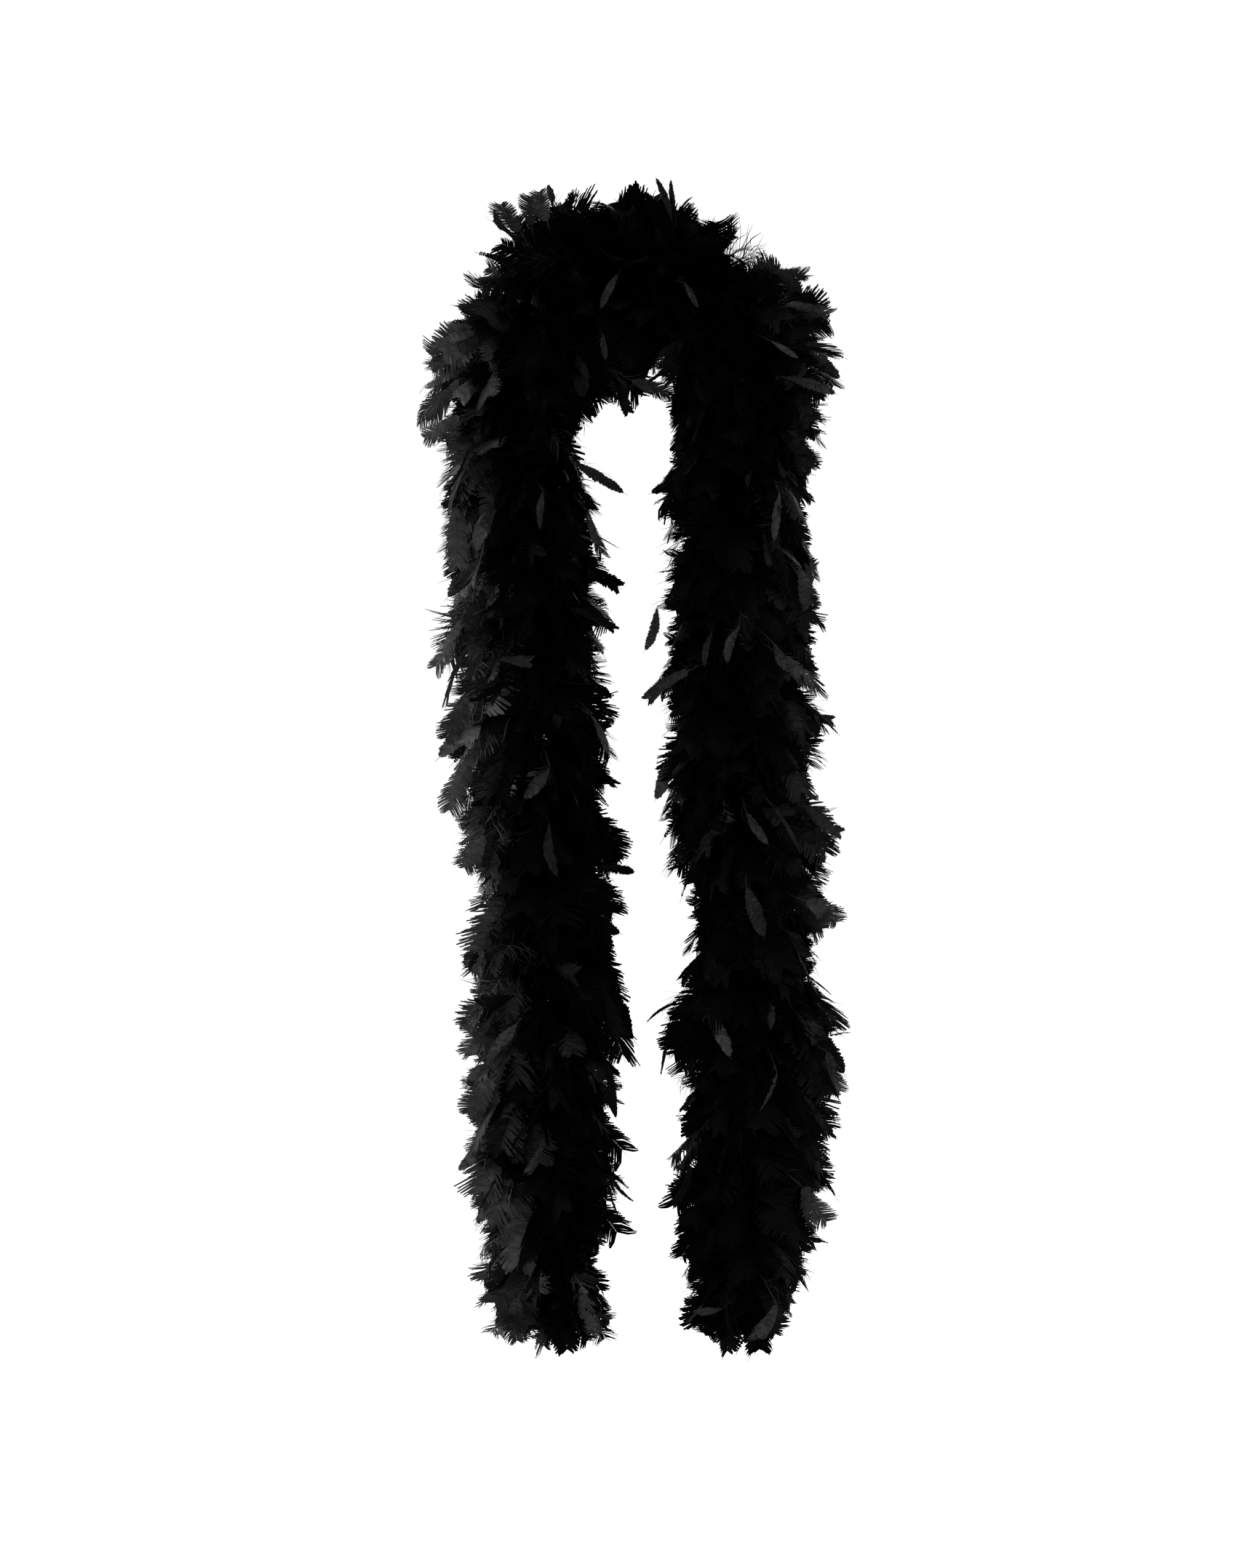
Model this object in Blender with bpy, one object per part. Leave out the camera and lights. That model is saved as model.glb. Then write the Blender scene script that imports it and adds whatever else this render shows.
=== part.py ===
"""A six-foot chandelle feather boa, hung over a neck or a peg.

Metres, +Z up, +X along the span of the arch, -Y towards the viewer. The origin
is the underside of the core cord at the crest of the arch, where the boa rests
on whatever holds it up.

The real boa is a twisted core cord with feathers tied round it in bunches. Here
the cord is one centre line cut into nine rigid lengths, hinged end to end: the
neck (the root) and four sections in each leg. The hinges alternate between
sideways (axis Y) and fore-and-aft (axis X), as links of a chain do. Every bunch
of feathers is one solid: the bound quills are a sleeve on the cord, and the
vanes stand out of it and droop towards the free end.
"""

import math
import random

import bmesh
import bpy
from mathutils import Matrix, Vector

# ---------------------------------------------------------------- dimensions
CORD_R = 0.0020            # core cord, 4 mm thick
THREAD_R = 0.00040         # binding thread, 0.8 mm thick
GAP = 0.0003               # clearance between pieces that touch
HINGE_GAP = 0.0014         # from a hinge axis to the end of the cord beside it
CORD_STEP = 0.0125         # between the points of a straight length of cord
CORD_STEP_BENT = 0.0070    # and of a bent one

SLEEVE_R = 0.0055          # bound quills, outside
SLEEVE_UP = 0.0090         # sleeve above the ring of vanes
SLEEVE_BAND = 0.0012       # half height of the ring that the vanes leave
VANES = 6                  # vanes in a bunch
VANE_REACH = 0.0655        # from the cord to a vane's tip
VANE_DROOP = 0.0400        # how far a tip hangs below its quill
VANE_WIDTH = 0.0240        # at the widest
VANE_THICK = 0.0015

HINGE_Z_LEFT = (-0.128, -0.306, -0.484, -0.662)
HINGE_Z_RIGHT = (-0.132, -0.309, -0.486, -0.663)

# The centre line, from the left end up over the arch and down to the right end.
ROUTE = (
    (-0.0640, -0.8350), (-0.0690, -0.7700), (-0.0730, -0.6900), (-0.0765, -0.6000),
    (-0.0780, -0.5000), (-0.0800, -0.4000), (-0.0840, -0.3000), (-0.0900, -0.2150),
    (-0.0960, -0.1500), (-0.0985, -0.1000), (-0.0925, -0.0550), (-0.0690, -0.0210),
    (-0.0350, -0.0045), (0.0000, 0.0000), (0.0370, -0.0060), (0.0740, -0.0230),
    (0.0985, -0.0570), (0.1015, -0.1040), (0.0950, -0.1550), (0.0880, -0.2200),
    (0.0850, -0.3000), (0.0890, -0.4000), (0.0970, -0.5000), (0.1010, -0.5800),
    (0.1000, -0.6700), (0.0950, -0.7600), (0.0880, -0.8350),
)
STEPS_PER_SPAN = 24

FEATHER_COLOUR = (0.0105, 0.0105, 0.0115, 1.0)
CORD_COLOUR = (0.0200, 0.0190, 0.0190, 1.0)
THREAD_COLOUR = (0.0150, 0.0150, 0.0160, 1.0)


# ---------------------------------------------------------------- centre line
def catmull(p0, p1, p2, p3, u):
    """A point on the Catmull-Rom span p1-p2."""
    return tuple(
        0.5 * (2 * b + (c - a) * u + (2 * a - 5 * b + 4 * c - d) * u * u
               + (3 * b - a - 3 * c + d) * u ** 3)
        for a, b, c, d in zip(p0, p1, p2, p3)
    )


def dense_line():
    pts = [tuple(2 * a - b for a, b in zip(ROUTE[0], ROUTE[1])), *ROUTE,
           tuple(2 * a - b for a, b in zip(ROUTE[-1], ROUTE[-2]))]
    line = []
    for k in range(1, len(pts) - 2):
        for i in range(STEPS_PER_SPAN):
            line.append(catmull(*pts[k - 1:k + 3], i / STEPS_PER_SPAN))
    line.append(ROUTE[-1])
    return [Vector((x, 0.0, z + CORD_R)) for x, z in line]


class CentreLine:
    def __init__(self):
        self.pts = dense_line()
        self.s = [0.0]
        for a, b in zip(self.pts, self.pts[1:]):
            self.s.append(self.s[-1] + (b - a).length)
        self.length = self.s[-1]

    def at(self, s):
        s = min(max(s, 0.0), self.length)
        lo, hi = 0, len(self.s) - 1
        while hi - lo > 1:
            mid = (lo + hi) // 2
            lo, hi = (mid, hi) if self.s[mid] <= s else (lo, mid)
        u = (s - self.s[lo]) / (self.s[hi] - self.s[lo])
        return self.pts[lo].lerp(self.pts[hi], u)

    def tangent(self, s, h=0.004):
        return (self.at(s + h) - self.at(s - h)).normalized()

    def curvature(self, s, h=0.010):
        return (self.tangent(s + h) - self.tangent(s - h)) / (2 * h)

    def frame(self, s):
        t = self.tangent(s)
        n = Vector((0.0, 1.0, 0.0))
        return self.at(s), t, n, t.cross(n)

    def crest(self):
        return self.s[max(range(len(self.pts)), key=lambda i: self.pts[i].z)]

    def where_z(self, z, left):
        """Arc length at which a leg passes height z."""
        lo, hi = (0.0, self.crest()) if left else (self.length, self.crest())
        for _ in range(50):
            mid = (lo + hi) / 2
            lo, hi = (mid, hi) if self.at(mid).z < z else (lo, mid)
        return (lo + hi) / 2


# ---------------------------------------------------------------- scene helpers
def clear_scene():
    for o in list(bpy.data.objects):
        bpy.data.objects.remove(o)


def material(name, colour, roughness):
    m = bpy.data.materials.new(name)
    m.use_nodes = True
    shader = m.node_tree.nodes["Principled BSDF"]
    shader.inputs["Base Color"].default_value = colour
    shader.inputs["Roughness"].default_value = roughness
    shader.inputs["Metallic"].default_value = 0.0
    m.diffuse_color = colour
    return m


def add_object(name, data, mat, pivot=None):
    data.materials.append(mat)
    obj = bpy.data.objects.new(name, data)
    bpy.context.scene.collection.objects.link(obj)
    if pivot is not None:
        obj.parent = pivot
        obj.matrix_parent_inverse = pivot.matrix_world.inverted()
    return obj


def add_pivot(name, place):
    e = bpy.data.objects.new(name, None)
    e.empty_display_size = 0.02
    e.location = place
    bpy.context.scene.collection.objects.link(e)
    bpy.context.view_layer.update()
    return e


def tube(name, points, radius, resolution, mat, pivot, cyclic=False):
    """A round tube along points, with closed ends."""
    c = bpy.data.curves.new(name, "CURVE")
    c.dimensions = "3D"
    c.twist_mode = "MINIMUM"
    c.bevel_depth = radius
    c.bevel_resolution = resolution
    c.use_fill_caps = not cyclic
    sp = c.splines.new("POLY")
    sp.points.add(len(points) - 1)
    for p, q in zip(sp.points, points):
        p.co = (*q, 1.0)
    sp.use_cyclic_u = cyclic
    sp.use_smooth = True
    return add_object(name, c, mat, pivot)


# ---------------------------------------------------------------- the pieces
def vane_stations(reach, droop, width):
    """(out, down, width, thickness) along a vane, from just past its quill to its tip."""
    return (
        (0.34 * reach, 0.10 * droop, 0.34 * width, VANE_THICK),
        (0.70 * reach, 0.42 * droop, width, VANE_THICK),
        (reach, droop, 0.22 * width, 0.6 * VANE_THICK),
    )


def feather_bunch(name, line, s, away, reach, droop, phase, seed, mat, pivot):
    """One bunch: a sleeve of bound quills with VANES vanes standing out of it.

    away is +1 where the free end lies at larger arc length, -1 otherwise.
    """
    rng = random.Random(seed)
    bend = line.curvature(s)
    # the sleeve lies along the chord of the stretch of cord that it covers
    top, foot = line.at(s - away * SLEEVE_UP), line.at(s + away * SLEEVE_BAND)
    down = (foot - top).normalized()
    origin = foot - down * SLEEVE_BAND
    t = down * away
    n = Vector((0.0, 1.0, 0.0))
    b = t.cross(n)
    bore = CORD_R + GAP + 0.00012 + bend.length * (SLEEVE_UP + SLEEVE_BAND) ** 2 / 7
    bm = bmesh.new()
    profile = [
        (bore, -SLEEVE_UP), (SLEEVE_R, -SLEEVE_UP), (SLEEVE_R, -SLEEVE_BAND),
        (SLEEVE_R, SLEEVE_BAND), (bore, SLEEVE_BAND),
    ]
    ring = [bm.verts.new(origin + n * r + down * a) for r, a in profile]
    edges = [bm.edges.new((ring[i], ring[(i + 1) % 5])) for i in range(5)]
    start = math.radians(phase) - math.pi / (2 * VANES)
    bmesh.ops.rotate(bm, verts=ring, cent=origin, matrix=rotation(t, start))
    bmesh.ops.spin(bm, geom=ring + edges, cent=origin, axis=t, dvec=(0, 0, 0),
                   angle=2 * math.pi, steps=2 * VANES, use_merge=True, use_duplicate=False)
    bmesh.ops.remove_doubles(bm, verts=bm.verts[:], dist=0.00002)
    bmesh.ops.recalc_face_normals(bm, faces=bm.faces[:])

    def polar(p):
        q = p - origin
        a = q.dot(down)
        q = q - down * a
        return q.length, a, math.atan2(q.dot(b), q.dot(n))

    band = []
    for f in bm.faces:
        rs = [polar(v.co) for v in f.verts]
        if all(abs(r - SLEEVE_R) < 0.0002 and abs(a) < SLEEVE_BAND * 1.05 for r, a, _ in rs):
            band.append((polar(f.calc_center_median())[2] % (2 * math.pi), f))
    band.sort(key=lambda x: x[0])
    first = min(
        range(len(band)),
        key=lambda i: abs(math.remainder(band[i][0] - math.radians(phase), 2 * math.pi)),
    )
    for k in range(VANES):
        angle, face = band[(first + 2 * k) % len(band)]
        out = n * math.cos(angle) + b * math.sin(angle)
        side = out.cross(down)
        far = reach * rng.uniform(0.90, 1.04)
        low = droop * rng.uniform(0.88, 1.10)
        inward = out.dot(bend)
        if inward > 2.0:
            far = min(far, 0.66 / inward)
            low = min(low, 0.35 * far)
        wide = VANE_WIDTH * rng.uniform(0.85, 1.12) * min(1.0, far / (0.75 * reach))
        before = (0.0, 0.0)
        for r, a, w, th in vane_stations(far, low, wide):
            slope = math.atan2(a - before[1], r - before[0])
            lift = down * math.cos(slope) - out * math.sin(slope)
            centre = face.calc_center_median()
            signs = [
                (1 if (v.co - centre).dot(side) > 0 else -1,
                 1 if (v.co - centre).dot(lift) > 0 else -1)
                for v in face.verts
            ]
            made = bmesh.ops.extrude_discrete_faces(bm, faces=[face])
            face = made["faces"][0]
            for v, (u, h) in zip(face.verts, signs):
                v.co = origin + out * r + down * a + side * (u * w / 2) + lift * (h * th / 2)
            before = (r, a)
    bmesh.ops.recalc_face_normals(bm, faces=bm.faces[:])
    me = bpy.data.meshes.new(name)
    bm.to_mesh(me)
    bm.free()
    return add_object(name, me, mat, pivot)


def rotation(axis, angle):
    return Matrix.Rotation(angle, 3, axis)


def cord_length(name, line, s0, s1, mat, pivot):
    step = CORD_STEP_BENT if max(line.curvature(s0 + (s1 - s0) * i / 12).length
                                 for i in range(1, 12)) > 4 else CORD_STEP
    count = max(6, int((s1 - s0) / step) + 1)
    pts = [line.at(s0 + (s1 - s0) * i / (count - 1)) for i in range(count)]
    return tube(name, pts, CORD_R, 1, mat, pivot)


def binding_thread(name, line, bunches, mat, pivot):
    """One thread over several bunches: it winds round each sleeve, slips between two
    vanes and runs on along the cord to the next bunch. bunches: (s, away, phase)."""
    on_sleeve = (SLEEVE_R + GAP + THREAD_R) / math.cos(math.pi / 8) + 0.0002
    on_cord = CORD_R + 2 * GAP + THREAD_R + 0.0002
    turns, per_turn = 1.25, 8
    route = []
    turn = None
    for s, away, phase in bunches:
        gap_angle = math.radians(phase) + math.pi / VANES
        if turn is not None:
            while gap_angle < turn - math.pi / VANES:
                gap_angle += 2 * math.pi / VANES
            while gap_angle > turn + math.pi / VANES:
                gap_angle -= 2 * math.pi / VANES
        wound = []
        steps = int(turns * per_turn)
        for i in range(steps + 1):
            u = i / steps
            wound.append((
                s - away * (SLEEVE_BAND + 0.0016 + 0.0046 * u),
                on_sleeve, gap_angle + u * steps / per_turn * 2 * math.pi,
            ))
        through = [
            (s + away * (SLEEVE_BAND + 0.0016), on_sleeve, gap_angle),
            (s + away * (SLEEVE_BAND + 0.0052), on_cord, gap_angle),
        ]
        last = wound[-1]
        up = [(s - away * (SLEEVE_UP + 0.0012), on_sleeve, last[2] + 0.5),
              (s - away * (SLEEVE_UP + 0.0042), on_cord, last[2] + 0.8)]
        whole = list(reversed(through)) + wound + up
        if away > 0:
            whole = list(reversed(whole))
        shift = 0.0
        if turn is not None:
            shift = round((turn - whole[0][2]) / (2 * math.pi)) * 2 * math.pi
        whole = [(a, r, ang + shift) for a, r, ang in whole]
        if route:
            # the run along the cord, in short steps that follow its bend
            (s0, _, a0), (s1, _, a1) = route[-1], whole[0]
            steps = max(2, int((s1 - s0) / 0.011), math.ceil(abs(a1 - a0) / 0.85))
            route += [(s0 + (s1 - s0) * i / steps, on_cord, a0 + (a1 - a0) * i / steps)
                      for i in range(1, steps)]
        route += whole
        turn = whole[-1][2]
    pts = []
    for s, r, ang in route:
        p, t, n, b = line.frame(s)
        pts.append(p + (n * math.cos(ang) + b * math.sin(ang)) * r)
    return tube(name, pts, THREAD_R, 0, mat, pivot)


def end_whipping(name, line, s0, s1, mat, pivot):
    """Five tight turns of thread round the cord, as one turned sleeve."""
    p0, p1 = line.at(s0), line.at(s1)
    axis = (p1 - p0).normalized()
    length = (p1 - p0).length
    side = Vector((0.0, 1.0, 0.0))
    turns = 5
    profile = [(CORD_R + GAP, 0.0)]
    for i in range(turns):
        profile.append((CORD_R + GAP + 0.0004, length * i / turns))
        profile.append((CORD_R + GAP + 0.0010, length * (i + 0.5) / turns))
    profile.append((CORD_R + GAP + 0.0004, length))
    profile.append((CORD_R + GAP, length))
    bm = bmesh.new()
    vs = [bm.verts.new(p0 + axis * a + side * r) for r, a in profile]
    es = [bm.edges.new((vs[i], vs[(i + 1) % len(vs)])) for i in range(len(vs))]
    bmesh.ops.spin(bm, geom=vs + es, cent=p0, axis=axis, dvec=(0, 0, 0),
                   angle=2 * math.pi, steps=10, use_merge=True, use_duplicate=False)
    bmesh.ops.remove_doubles(bm, verts=bm.verts[:], dist=0.00002)
    bmesh.ops.recalc_face_normals(bm, faces=bm.faces[:])
    me = bpy.data.meshes.new(name)
    bm.to_mesh(me)
    bm.free()
    return add_object(name, me, mat, pivot)


def end_knot(name, line, s, outward, mat, pivot):
    """An overhand knot: the strand follows a trefoil."""
    p, t, n, b = line.frame(s)
    out = t * outward
    size, strand, count = 0.00215, 0.00125, 30
    pts = []
    for i in range(count):
        u = 2 * math.pi * i / count
        x = math.sin(u) + 2 * math.sin(2 * u)
        y = math.cos(u) - 2 * math.cos(2 * u)
        z = -math.sin(3 * u)
        pts.append(p + n * (x * size) + b * (y * size) + out * (z * size * 0.85))
    return tube(name, pts, strand, 1, mat, pivot, cyclic=True)


# ---------------------------------------------------------------- assembly
def build():
    clear_scene()
    line = CentreLine()
    crest = line.crest()

    def feathers(name):
        return material("mat_" + name, FEATHER_COLOUR, 0.55)

    def cord_mat(name):
        return material("mat_" + name, CORD_COLOUR, 0.75)

    def thread_mat(name):
        return material("mat_" + name, THREAD_COLOUR, 0.60)

    hinges = {
        "left": [line.where_z(z, True) for z in HINGE_Z_LEFT],
        "right": [line.where_z(z, False) for z in HINGE_Z_RIGHT],
    }

    # The neck: the root section, which lies over the neck or peg.
    neck_bunches = []
    span = (0.0, 0.0405, 0.0810, 0.1215)
    places = [-d for d in reversed(span[1:])] + list(span)
    for i, d in enumerate(places):
        away = -1 if d < 0 else 1
        droop = (0.0, 0.006, 0.014, 0.022)[span.index(abs(d))]
        s = crest + d
        phase = 30.0 * (i % 2)
        name = f"feather_bunch_neck_{i + 1}"
        feather_bunch(name, line, s, away, VANE_REACH * 1.04, droop, phase,
                      100 + i, feathers(name), None)
        neck_bunches.append((s, away, phase))
    cord_length("core_cord_neck", line, hinges["left"][0] + HINGE_GAP,
                hinges["right"][0] - HINGE_GAP, cord_mat("core_cord_neck"), None)
    binding_thread("binding_thread_neck", line, neck_bunches,
                   thread_mat("binding_thread_neck"), None)

    for side, away, end in (("left", -1, 0.0), ("right", 1, line.length)):
        number = 0
        parent = None
        for k, s_hinge in enumerate(hinges[side]):
            pivot = add_pivot(f"hinge_{side}_{k + 1}", line.at(s_hinge))
            if parent is not None:
                pivot.parent = parent
                pivot.matrix_parent_inverse = parent.matrix_world.inverted()
            parent = pivot
            last = k == len(hinges[side]) - 1
            s_next = end if last else hinges[side][k + 1]
            # (distance below the hinge, reach, droop)
            rows = [(0.016, 0.94, 1.12), (0.074, 1.0, 1.0), (0.131, 1.0, 0.55)]
            if last:
                rows = [(0.016, 0.94, 1.12), (0.064, 1.0, 1.0), (0.109, 0.95, 1.05),
                        (0.148, 0.66, 1.12)]
            bunches = []
            for d, reach, droop in rows:
                number += 1
                s = s_hinge + away * d
                phase = 30.0 * (number % 2)
                name = f"feather_bunch_{side}_{number:02d}"
                feather_bunch(name, line, s, away, VANE_REACH * reach,
                              VANE_DROOP * droop, phase,
                              (200 if side == "left" else 300) + number,
                              feathers(name), pivot)
                bunches.append((s, away, phase))
            if away < 0:
                bunches.reverse()
            a = s_hinge + away * HINGE_GAP
            z = s_next - away * HINGE_GAP
            if last:
                z = s_next - away * 0.0040
            name = f"core_cord_{side}_{k + 1}"
            cord_length(name, line, min(a, z), max(a, z), cord_mat(name), pivot)
            name = f"binding_thread_{side}_{k + 1}"
            binding_thread(name, line, bunches, thread_mat(name), pivot)
            if last:
                w0, w1 = z - away * 0.0012, z - away * 0.0080
                name = f"end_whipping_{side}"
                end_whipping(name, line, min(w0, w1), max(w0, w1), thread_mat(name), pivot)
                name = f"end_knot_{side}"
                end_knot(name, line, s_next - away * 0.0002, away, cord_mat(name), pivot)


build()
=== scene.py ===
"""The looks of a black feather boa: plumage, core cord, binding thread, whippings and knots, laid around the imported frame."""
import math

import bpy
import numpy as np
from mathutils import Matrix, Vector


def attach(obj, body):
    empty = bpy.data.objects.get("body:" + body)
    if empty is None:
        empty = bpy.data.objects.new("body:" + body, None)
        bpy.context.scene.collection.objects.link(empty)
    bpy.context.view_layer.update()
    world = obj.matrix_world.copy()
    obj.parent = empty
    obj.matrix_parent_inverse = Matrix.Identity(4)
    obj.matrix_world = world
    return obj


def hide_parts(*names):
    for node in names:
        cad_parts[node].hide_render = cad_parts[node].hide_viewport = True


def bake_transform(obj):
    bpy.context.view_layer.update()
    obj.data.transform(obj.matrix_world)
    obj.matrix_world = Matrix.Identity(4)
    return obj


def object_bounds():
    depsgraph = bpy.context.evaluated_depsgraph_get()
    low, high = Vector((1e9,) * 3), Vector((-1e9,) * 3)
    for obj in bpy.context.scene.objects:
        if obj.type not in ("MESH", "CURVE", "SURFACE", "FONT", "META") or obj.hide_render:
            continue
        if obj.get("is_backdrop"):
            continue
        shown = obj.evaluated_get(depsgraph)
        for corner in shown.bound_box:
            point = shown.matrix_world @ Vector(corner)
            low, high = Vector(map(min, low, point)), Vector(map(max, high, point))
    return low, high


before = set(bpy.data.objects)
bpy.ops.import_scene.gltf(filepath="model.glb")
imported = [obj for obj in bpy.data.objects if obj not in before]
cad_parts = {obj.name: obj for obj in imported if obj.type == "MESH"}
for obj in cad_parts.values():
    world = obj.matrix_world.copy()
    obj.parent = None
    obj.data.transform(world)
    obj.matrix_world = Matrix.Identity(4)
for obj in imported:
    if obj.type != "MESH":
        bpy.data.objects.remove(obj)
cad_lo, cad_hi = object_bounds()

TAU = 2.0 * math.pi
Y = np.array((0.0, 1.0, 0.0))
DOWN = np.array((0.0, 0.0, -1.0))

# ----------------------------------------------------------------------------------------------
# Camera, floor and light
# ----------------------------------------------------------------------------------------------
scene = bpy.context.scene
scene.view_settings.view_transform = "Standard"
scene.view_settings.look = "None"
scene.view_settings.exposure = 0.0

LENS = 85.0
PICTURE_HEIGHT = 1.283          # metres that the picture takes in, top to bottom, at the boa
PICTURE_CENTRE = (-0.0045, -0.4060)
cam_data = bpy.data.cameras.new("camera")
cam_data.lens = LENS
cam_data.sensor_width = 36.0
cam_data.sensor_fit = "AUTO"
cam_data.dof.use_dof = False
cam = bpy.data.objects.new("camera", cam_data)
scene.collection.objects.link(cam)
cam.location = (PICTURE_CENTRE[0], -PICTURE_HEIGHT * LENS / 36.0, PICTURE_CENTRE[1])
cam.rotation_euler = (math.radians(90.0), 0.0, 0.0)
cam_data.clip_start, cam_data.clip_end = 0.05, 200.0
scene.camera = cam

world = bpy.data.worlds.new("studio")
scene.world = world
world.use_nodes = True
for node in world.node_tree.nodes:
    if node.type == "BACKGROUND":
        node.inputs["Color"].default_value = (1.0, 1.0, 1.0, 1.0)
        node.inputs["Strength"].default_value = 1.0

floor_mesh = bpy.data.meshes.new("floor")
floor_mesh.from_pydata([(-40, -40, -1.16), (40, -40, -1.16), (40, 40, -1.16), (-40, 40, -1.16)], [], [(0, 1, 2, 3)])
floor = bpy.data.objects.new("floor", floor_mesh)
scene.collection.objects.link(floor)
floor_mat = bpy.data.materials.new("studio_floor")
floor_mat.use_nodes = True
floor_bsdf = floor_mat.node_tree.nodes["Principled BSDF"]
floor_bsdf.inputs["Base Color"].default_value = (0.90, 0.90, 0.90, 1.0)
floor_bsdf.inputs["Roughness"].default_value = 0.9
floor_bsdf.inputs["Specular IOR Level"].default_value = 0.1
floor_bsdf.inputs["Emission Color"].default_value = (1.0, 1.0, 1.0, 1.0)
floor_bsdf.inputs["Emission Strength"].default_value = 0.13
floor_mesh.materials.append(floor_mat)
floor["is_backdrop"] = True


def area_light(name, where, aim, size, power):
    data = bpy.data.lights.new(name, "AREA")
    data.shape = "DISK"
    data.size = size
    data.energy = power
    ob = bpy.data.objects.new(name, data)
    scene.collection.objects.link(ob)
    ob.location = where
    d = np.array(aim, float) - np.array(where, float)
    from mathutils import Vector
    ob.rotation_mode = "QUATERNION"
    ob.rotation_quaternion = Vector(d).to_track_quat("-Z", "Y")
    return ob


area_light("key_left", (-2.2, -0.9, 0.6), (0.0, 0.0, -0.35), 1.4, 60.0)
area_light("soft_front", (0.9, -2.4, 1.1), (0.0, 0.0, -0.4), 1.6, 28.0)
area_light("rim_back", (0.6, 2.2, 0.9), (0.0, 0.0, -0.4), 1.6, 30.0)

# ----------------------------------------------------------------------------------------------
# The centre line of the cord: the same route as the CAD model's
# ----------------------------------------------------------------------------------------------
CORD_R = 0.0020
ROUTE = (
    (-0.0640, -0.8350), (-0.0690, -0.7700), (-0.0730, -0.6900), (-0.0765, -0.6000),
    (-0.0780, -0.5000), (-0.0800, -0.4000), (-0.0840, -0.3000), (-0.0900, -0.2150),
    (-0.0960, -0.1500), (-0.0985, -0.1000), (-0.0925, -0.0550), (-0.0690, -0.0210),
    (-0.0350, -0.0045), (0.0000, 0.0000), (0.0370, -0.0060), (0.0740, -0.0230),
    (0.0985, -0.0570), (0.1015, -0.1040), (0.0950, -0.1550), (0.0880, -0.2200),
    (0.0850, -0.3000), (0.0890, -0.4000), (0.0970, -0.5000), (0.1010, -0.5800),
    (0.1000, -0.6700), (0.0950, -0.7600), (0.0880, -0.8350),
)
HINGE_Z = {"left": (-0.128, -0.306, -0.484, -0.662), "right": (-0.132, -0.309, -0.486, -0.663)}
ROWS = (0.016, 0.074, 0.131)                  # bunches below the hinge of a leg section
ROWS_LAST = (0.016, 0.064, 0.109, 0.148)      # and of the last one
NECK_SPACING = 0.0405


class CentreLine:
    """Catmull-Rom curve through the route, read by arc length."""

    def __init__(self, route, per_span=40):
        p = np.array([(x, 0.0, z + CORD_R) for x, z in route])
        p = np.vstack([2 * p[0] - p[1], p, 2 * p[-1] - p[-2]])
        t = (np.arange(per_span) / per_span)[:, None]
        parts = []
        for k in range(1, len(p) - 2):
            a, b, c, d = p[k - 1], p[k], p[k + 1], p[k + 2]
            parts.append(0.5 * (2 * b + (c - a) * t + (2 * a - 5 * b + 4 * c - d) * t ** 2
                                + (3 * b - a - 3 * c + d) * t ** 3))
        parts.append(p[-2][None])
        self.p = np.vstack(parts)
        self.s = np.concatenate([[0.0], np.cumsum(np.linalg.norm(np.diff(self.p, axis=0), axis=1))])
        self.length = self.s[-1]
        self.crest = self.s[int(np.argmax(self.p[:, 2]))]
        tan = np.gradient(self.p, self.s, axis=0)
        self.t = tan / np.linalg.norm(tan, axis=1)[:, None]

    def at(self, s):
        s = np.asarray(s, float)
        return np.stack([np.interp(s, self.s, self.p[:, k]) for k in range(3)], -1)

    def tangent(self, s):
        t = np.stack([np.interp(s, self.s, self.t[:, k]) for k in range(3)], -1)
        return t / np.linalg.norm(t, axis=-1, keepdims=True)

    def where_z(self, z, left):
        half = self.s <= self.crest if left else self.s >= self.crest
        return float(self.s[half][np.argmin(np.abs(self.p[half, 2] - z))])


line = CentreLine(ROUTE)
HINGE_S = {
    side: [line.where_z(z, side == "left") for z in HINGE_Z[side]] for side in ("left", "right")
}

# Every bunch: its CAD node, its place on the cord, and the stretch of cord that it covers.
bunches = []
for k in range(7):
    bunches.append(dict(node="feather_bunch_neck_%d" % (k + 1), side="neck", section=0,
                        s=line.crest + (k - 3) * NECK_SPACING))
for side in ("left", "right"):
    out = -1.0 if side == "left" else 1.0
    n = 0
    for k, hinge in enumerate(HINGE_S[side]):
        for row in (ROWS_LAST if k == 3 else ROWS):
            n += 1
            bunches.append(dict(node="feather_bunch_%s_%02d" % (side, n), side=side, section=k + 1,
                                s=hinge + out * row))
bunches.sort(key=lambda b: b["s"])
edges = [bunches[0]["s"] - 0.012] + [0.5 * (a["s"] + b["s"]) for a, b in zip(bunches, bunches[1:])] \
    + [bunches[-1]["s"] + 0.012]
for b, lo, hi in zip(bunches, edges, edges[1:]):
    b["lo"], b["hi"] = lo, hi


def chain(side):
    return ["neck"] + ["%s_%d" % (side, k) for k in (1, 2, 3, 4)]


def zones(side):
    """For each joint of one leg: the two bodies and the stretch of cord over which the boa bends there."""
    out = -1.0 if side == "left" else 1.0
    h = HINGE_S[side]
    mids = [0.5 * (a + b) for a, b in zip(h, h[1:])] + [h[3] + out * 0.092]
    starts = [h[0] - out * 0.078] + mids[:3]
    bodies = chain(side)
    return [dict(a=bodies[k], b=bodies[k + 1], s0=starts[k], s1=mids[k]) for k in range(4)]


ZONES = {side: zones(side) for side in ("left", "right")}


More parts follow.
